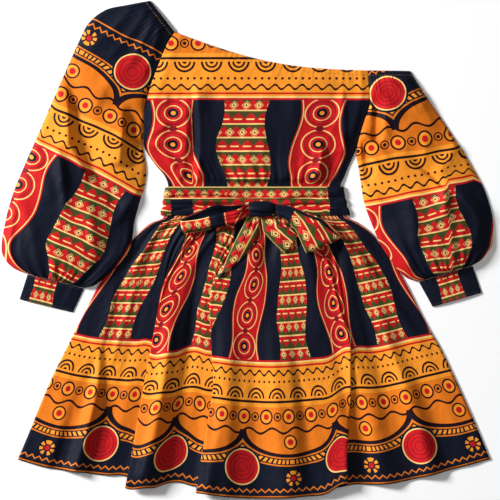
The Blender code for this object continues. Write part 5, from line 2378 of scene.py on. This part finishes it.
@dataclass
class Bow:
    """The tied bow: two tails, two loops and the knot over them.

    Attributes:
        ground: What it lies on.
        root: The level of the tails below the knot.
        tail_shares: Shares of a tail's width at which its points lie.
        loop_shares: Shares of a loop's width at which its points lie.
        tail_start: How far below the knot a tail's folds start, in millimetres.
        loop_start: How far from the knot a loop's folds start, in millimetres.
    """

    ground: Ground
    root: float = BELT_LEVEL + 0.3 + LAYER
    tail_shares: tuple[float, ...] = (0, 0.17, 0.34, 0.5, 0.66, 0.83, 1)
    loop_shares: tuple[float, ...] = (0, 0.15, 0.35, 0.55, 0.75, 0.9, 1)
    tail_start: float = 16.0
    loop_start: float = 22.0

    @property
    def knot_under(self) -> float:
        """Gives the level of the knot's cloth below the loops."""
        return self.root + LAYER + 0.2

    @property
    def neck_lower(self) -> float:
        """Gives the level of the lower layer of the loops' necks."""
        return self.knot_under + LAYER + 0.2

    @property
    def neck_upper(self) -> float:
        """Gives the level of the upper layer of the loops' necks."""
        return self.neck_lower + FOLD_LAYER

    @property
    def knot_over(self) -> float:
        """Gives the level of the knot's cloth over the loops."""
        return self.neck_upper + LAYER + 0.4

    @staticmethod
    def between(rows: Sequence[BandRow], steps: int) -> list[BandRow]:
        """Gives a table's rows with evenly spread rows added between them after the second.

        Args:
            rows: The table.
            steps: How many rows each span is cut into.

        Returns:
            The finer table.
        """
        finer = list(rows[:1])
        for start, end in zip(rows[1:], rows[2:]):
            for step in range(steps):
                share = step / steps
                finer.append(BandRow(*(a + (b - a) * share for a, b in zip(start, end))))
        return finer + [rows[-1]]

    @staticmethod
    def strip(grid: np.ndarray, along: np.ndarray, down: int) -> Panel:
        """Makes a band's fine panel, with the print's place along it given."""
        up = SASH_UP + distances(grid, 1) * MM
        return Panel(grid, np.stack([along, up], axis=2)).finer(8, down)

    def tail_rows(self, rows: Sequence[BandRow]) -> np.ndarray:
        """Places a free end's points: one layer of cloth with a soft ridge along it.

        Args:
            rows: The tail's table.

        Returns:
            Rows of points, in millimetres.
        """
        shares = np.array(self.tail_shares)
        grid = []
        for index, row in enumerate(self.between(rows, 2)):
            x, y = between_ends(row, shares)
            z = np.array([self.ground.height(a, b) + WALL / 2 + SEAM_GAP for a, b in zip(x, y)])
            if index < 2:
                z[:] = self.root
            else:
                z[:] = z.max() + 0.6 + row.puff * dome(shares)
            grid.append(np.stack([x, y, z], axis=1))
        return np.array(grid)

    def tail(self, word: str, rows: Sequence[BandRow], start: float, scale: float) -> SewnPiece:
        """Makes one tail.

        Args:
            word: Its side.
            rows: Its table.
            start: Where the print starts at the knot, in metres.
            scale: How fast the print runs along it.

        Returns:
            The tail.
        """
        grid = self.tail_rows(rows)
        lengths = distances(grid.mean(axis=1), 0) * MM
        along = np.tile((start - scale * lengths)[:, None], (1, grid.shape[1]))
        panel = self.strip(grid, along, 7)
        share, _ = panel.shares()
        runs = panel.runs_down()
        shown = smooth((runs - self.tail_start) / 12)
        edges = clear_of_edges(share, 0.12)
        from_knot = np.maximum(runs - self.tail_start, 0)
        lift = gathers(share, from_knot, 4, 90, 2.8, 41 if word == "left" else 43)
        lift += 0.5 * waves(panel.points[..., 0], panel.points[..., 1], 14, 42)
        panel.points[..., 2] += lift * shown * edges
        return SewnPiece("bow_tail_" + word, panel, Finish.RED, ("skirt_front", "belt"))

    def loop_rows(self, rows: Sequence[BandRow], slot: float) -> np.ndarray:
        """Places a loop's points: it leaves the knot below, turns, and comes back above.

        Args:
            rows: The loop's table.
            slot: The share of its width over which it stands open.

        Returns:
            The loop's grid.
        """
        shares = np.array(self.loop_shares)
        lower, upper = [], []
        for index, row in enumerate(self.between(rows, 2)):
            x, y = between_ends(row, shares)
            lift = WALL / 2 + BOW_CLEARANCE
            level = max(self.ground.height(a, b) + lift for a, b in zip(x, y))
            low = np.stack([x, y, np.full(len(x), level)], axis=1)
            open_here = float(dome((index - 1) / (2 * len(rows) - 3), 0.8))
            near = shares * (1 - slot * open_here)
            high = low.copy()
            high[:, 0], high[:, 1] = between_ends(row, near)
            if index < 2:
                low[:, 2] = self.neck_lower
                high[:, 2] = self.neck_upper
            else:
                if index == 2:
                    level = max(level, self.neck_lower - 1)
                low[:, 2] = level + 6.0 * slot / 0.34 * open_here * smooth((shares - 0.6) / 0.4)
                bulge = 0.35 + 0.65 * dome(shares) + 0.3 * open_here * shares
                high[:, 2] = level + FOLD_LAYER + 1.3 * row.puff * bulge
            lower.append(low)
            upper.append(high)
        end, before = rows[-1], rows[-2]
        tip_x = (end.left_x + end.right_x - before.left_x - before.right_x) / 2
        tip_y = (end.left_y + end.right_y - before.left_y - before.right_y) / 2
        outward = np.array([tip_x, tip_y]) / math.hypot(tip_x, tip_y)
        tip = (lower[-1] + upper[-1]) / 2
        reach = 3.5 * (1 + 0.8 * dome(shares, 0.5))
        tip[:, 0] += outward[0] * reach
        tip[:, 1] += outward[1] * reach
        return np.array(lower + [tip] + upper[::-1])

    def loop(
        self, word: str, rows: Sequence[BandRow], start: float, scale: float, slot: float
    ) -> SewnPiece:
        """Makes one loop.

        Args:
            word: Its side.
            rows: Its table.
            start: Where the print starts at the knot, in metres.
            scale: How fast the print runs along it.
            slot: The share of its width over which it stands open.

        Returns:
            The loop.
        """
        grid = self.loop_rows(rows, slot)
        lengths = distances(grid.mean(axis=1), 0) * MM
        back = lengths[-1] - lengths
        along = np.tile((start - scale * np.minimum(lengths, back))[:, None], (1, grid.shape[1]))
        # The middle of each loop's lower layer takes the plain dark part of the print: partly the
        # loop's dark ground, partly painted shade for the open slot between its layers.
        inner = np.array([0, 0, 1, 1, 1, 1, 0]) * (lengths + 0.012 < back)[:, None]
        along = along + (PLAIN_PLACE - along) * inner
        panel = self.strip(grid, along, 6)
        share, down = panel.shares()
        runs = panel.runs_down()
        from_knot = runs[-1:] - runs
        shown = smooth((from_knot - self.loop_start) / 10) * (down > 0.5)
        edges = clear_of_edges(share, 0.1)
        seed = 51 if word == "left" else 53
        lift = gathers(share, np.maximum(from_knot - self.loop_start, 0), 6, 90, 3.4, seed)
        lift += 0.5 * waves(panel.points[..., 0], panel.points[..., 1], 16, 52)
        panel.points[..., 2] += lift * shown * edges
        return SewnPiece("bow_loop_" + word, panel, Finish.RED, ("belt", "skirt_front"))

    def knot_rows(self) -> np.ndarray:
        """Places the knot's points: closed rings round the loops' necks, one for each step.

        Returns:
            Rows of points, in millimetres.
        """
        grid = []
        middle_z = (self.knot_over + self.knot_under) / 2
        for share in (0, 0.1, 0.28, 0.5, 0.72, 0.9, 1):
            x = KNOT_LEFT + (KNOT_RIGHT - KNOT_LEFT) * share
            half = (KNOT_TOP - KNOT_BOTTOM) / 2 * (0.78 + 0.24 * dome(share, 0.6))
            bulge = 7.0 * dome(0.1 + 0.8 * share, 0.7)
            lean = 2.0 * (share - 0.5)
            ring = []
            for across in (-0.9, -0.6, -0.2, 0.2, 0.6, 0.9):
                crown = bulge * (1 - across * across) * (1 + 0.25 * math.cos(5 * across))
                ring.append([x + lean * across, KNOT_Y + half * across, self.knot_over + crown])
            for rise in (0.75, 0.0, -0.75):
                height = middle_z + rise * (self.knot_over - self.knot_under) / 2
                ring.append([x + lean, KNOT_Y + half * (1 - 0.02 * abs(rise)), height])
            for across in (0.9, 0, -0.9):
                ring.append([x, KNOT_Y + half * across, self.knot_under])
            for rise in (-0.75, 0.0, 0.75):
                height = middle_z + rise * (self.knot_over - self.knot_under) / 2
                ring.append([x - lean, KNOT_Y - half * (1 - 0.02 * abs(rise)), height])
            grid.append(ring)
        return np.array(grid)

    def knot(self) -> SewnPiece:
        """Makes the knot with the small folds that it is pulled into.

        Returns:
            The finished piece.
        """
        grid = self.knot_rows()
        along = PLAIN_PLACE + (grid[..., 0] - KNOT_X) * MM * 0.6
        up = 0.37 + (grid[..., 1] - KNOT_Y) * MM
        panel = Panel(grid, np.stack([along, up], axis=2), ring=True).finer(6, 8)
        x, y = panel.points[..., 0], panel.points[..., 1]
        top = smooth((panel.points[..., 2] - self.knot_over) / 2)
        ends = smooth((x - KNOT_LEFT) / 6) * smooth((KNOT_RIGHT - x) / 6)
        across = (y - KNOT_BOTTOM) / (KNOT_TOP - KNOT_BOTTOM)
        fold = gathers(across, np.maximum(x - KNOT_LEFT, 0), 4, 34, 3.2, 61)
        fold += gathers(across + 0.1, np.maximum(KNOT_RIGHT - x, 0), 4, 30, 2.8, 62)
        panel.points[..., 2] += (fold - 1.4) * top * ends
        return SewnPiece("bow_knot", panel, Finish.NAVY, ("belt",))

    def pieces(self) -> list[SewnPiece]:
        """Makes every piece of the bow.

        Returns:
            The two tails, the two loops and the knot.
        """
        return [
            self.tail("left", LEFT_TAIL, 0.108, 0.8),
            self.tail("right", RIGHT_TAIL, 0.092, 0.85),
            self.loop("left", LEFT_LOOP, 0.230, 1.3, 0.42),
            self.loop("right", RIGHT_LOOP, 0.143, 0.7, 0.16),
            self.knot(),
        ]


@dataclass
class Studio:
    """The floor, the lights and the camera straight above.

    Attributes:
        height: The camera's height, in metres.
        lens: Its focal length, in millimetres.
        aim: The place that it looks down on.
    """

    height: float = 6.0
    lens: float = 233.5
    aim: tuple[float, float] = (0.0044, -0.0015)

    def floor(self) -> None:
        """Lays a plain pale floor under the dress."""
        mesh = bpy.data.meshes.new("floor")
        reach = 4.0
        corners = [(-reach, -reach, 0), (reach, -reach, 0), (reach, reach, 0), (-reach, reach, 0)]
        mesh.from_pydata(corners, [], [(0, 1, 2, 3)])
        made, _, shader = new_material("pale_floor")
        shader.inputs["Base Color"].default_value = (0.98, 0.98, 0.98, 1)
        shader.inputs["Roughness"].default_value = 0.9
        mesh.materials.append(made)
        sheet = linked("floor", mesh)

    def light(self, name: str, place: tuple[float, float, float], size: float, power: float) -> None:
        """Hangs one soft square light that faces the dress.

        Args:
            name: Its name.
            place: Where it hangs, in metres.
            size: The length of its sides, in metres.
            power: Its power, in watts.
        """
        data = bpy.data.lights.new(name, "AREA")
        data.size = size
        data.energy = power
        lamp = linked(name, data)
        lamp.location = place
        lamp.rotation_euler = (-Vector(place)).to_track_quat("-Z", "Y").to_euler()

    def build(self) -> None:
        """Makes the studio and sets the scene's camera and world."""
        scene = bpy.context.scene
        data = bpy.data.cameras.new("camera")
        data.lens = self.lens
        data.sensor_width = 36.0
        data.clip_end = 50.0
        camera = linked("camera", data)
        camera.location = (*self.aim, self.height)
        scene.camera = camera
        self.floor()
        self.light("key light", (-5.9, 2.5, 3.0), 1.7, 960.0)
        self.light("fill light", (2.2, -1.2, 2.4), 2.2, 8.0)
        self.light("top light", (0.2, 0.1, 3.6), 2.0, 20.0)
        world = bpy.data.worlds.new("studio")
        world.use_nodes = True
        world.node_tree.nodes["Background"].inputs["Color"].default_value = (1, 1, 1, 1)
        world.node_tree.nodes["Background"].inputs["Strength"].default_value = 0.10
        scene.world = world
        scene.view_settings.view_transform = "Standard"
        scene.view_settings.look = "None"


def main() -> None:
    """Dresses the frame and sets up the studio."""
    logging.basicConfig(level=logging.INFO, format="%(name)s: %(message)s")
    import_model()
    Studio().build()
    bodice = Bodice()
    skirt = Skirt()
    belt = Belt().wrapped()
    bodice_front, skirt_front = bodice.front(), skirt.front()
    sleeves = [
        Sleeve(-1, LEFT_CAP, LEFT_ARM, LEFT_CUFF, LEFT_SLEEVE_CREASES, (-299, 156), (-0.45, -0.89), 61),
        Sleeve(
            1, RIGHT_CAP, RIGHT_ARM, RIGHT_CUFF, RIGHT_SLEEVE_CREASES, (298, 100), (0.2, -0.98), 71,
            cuff_start=-0.05, long_fold=(365, 150, 0.05),
        ),
    ]
    pieces = [bodice_front, bodice.back(), skirt_front, skirt.back(), belt]
    for sleeve in sleeves:
        pieces += [sleeve.tube(), sleeve.cuff()]
    ground = Ground([belt.panel, skirt_front.panel, bodice_front.panel])
    pieces += Bow(ground).pieces()
    for piece in pieces:
        piece.finish()
    log.info("%d pieces of cloth", len(pieces))


if __name__ == "__main__":
    main()
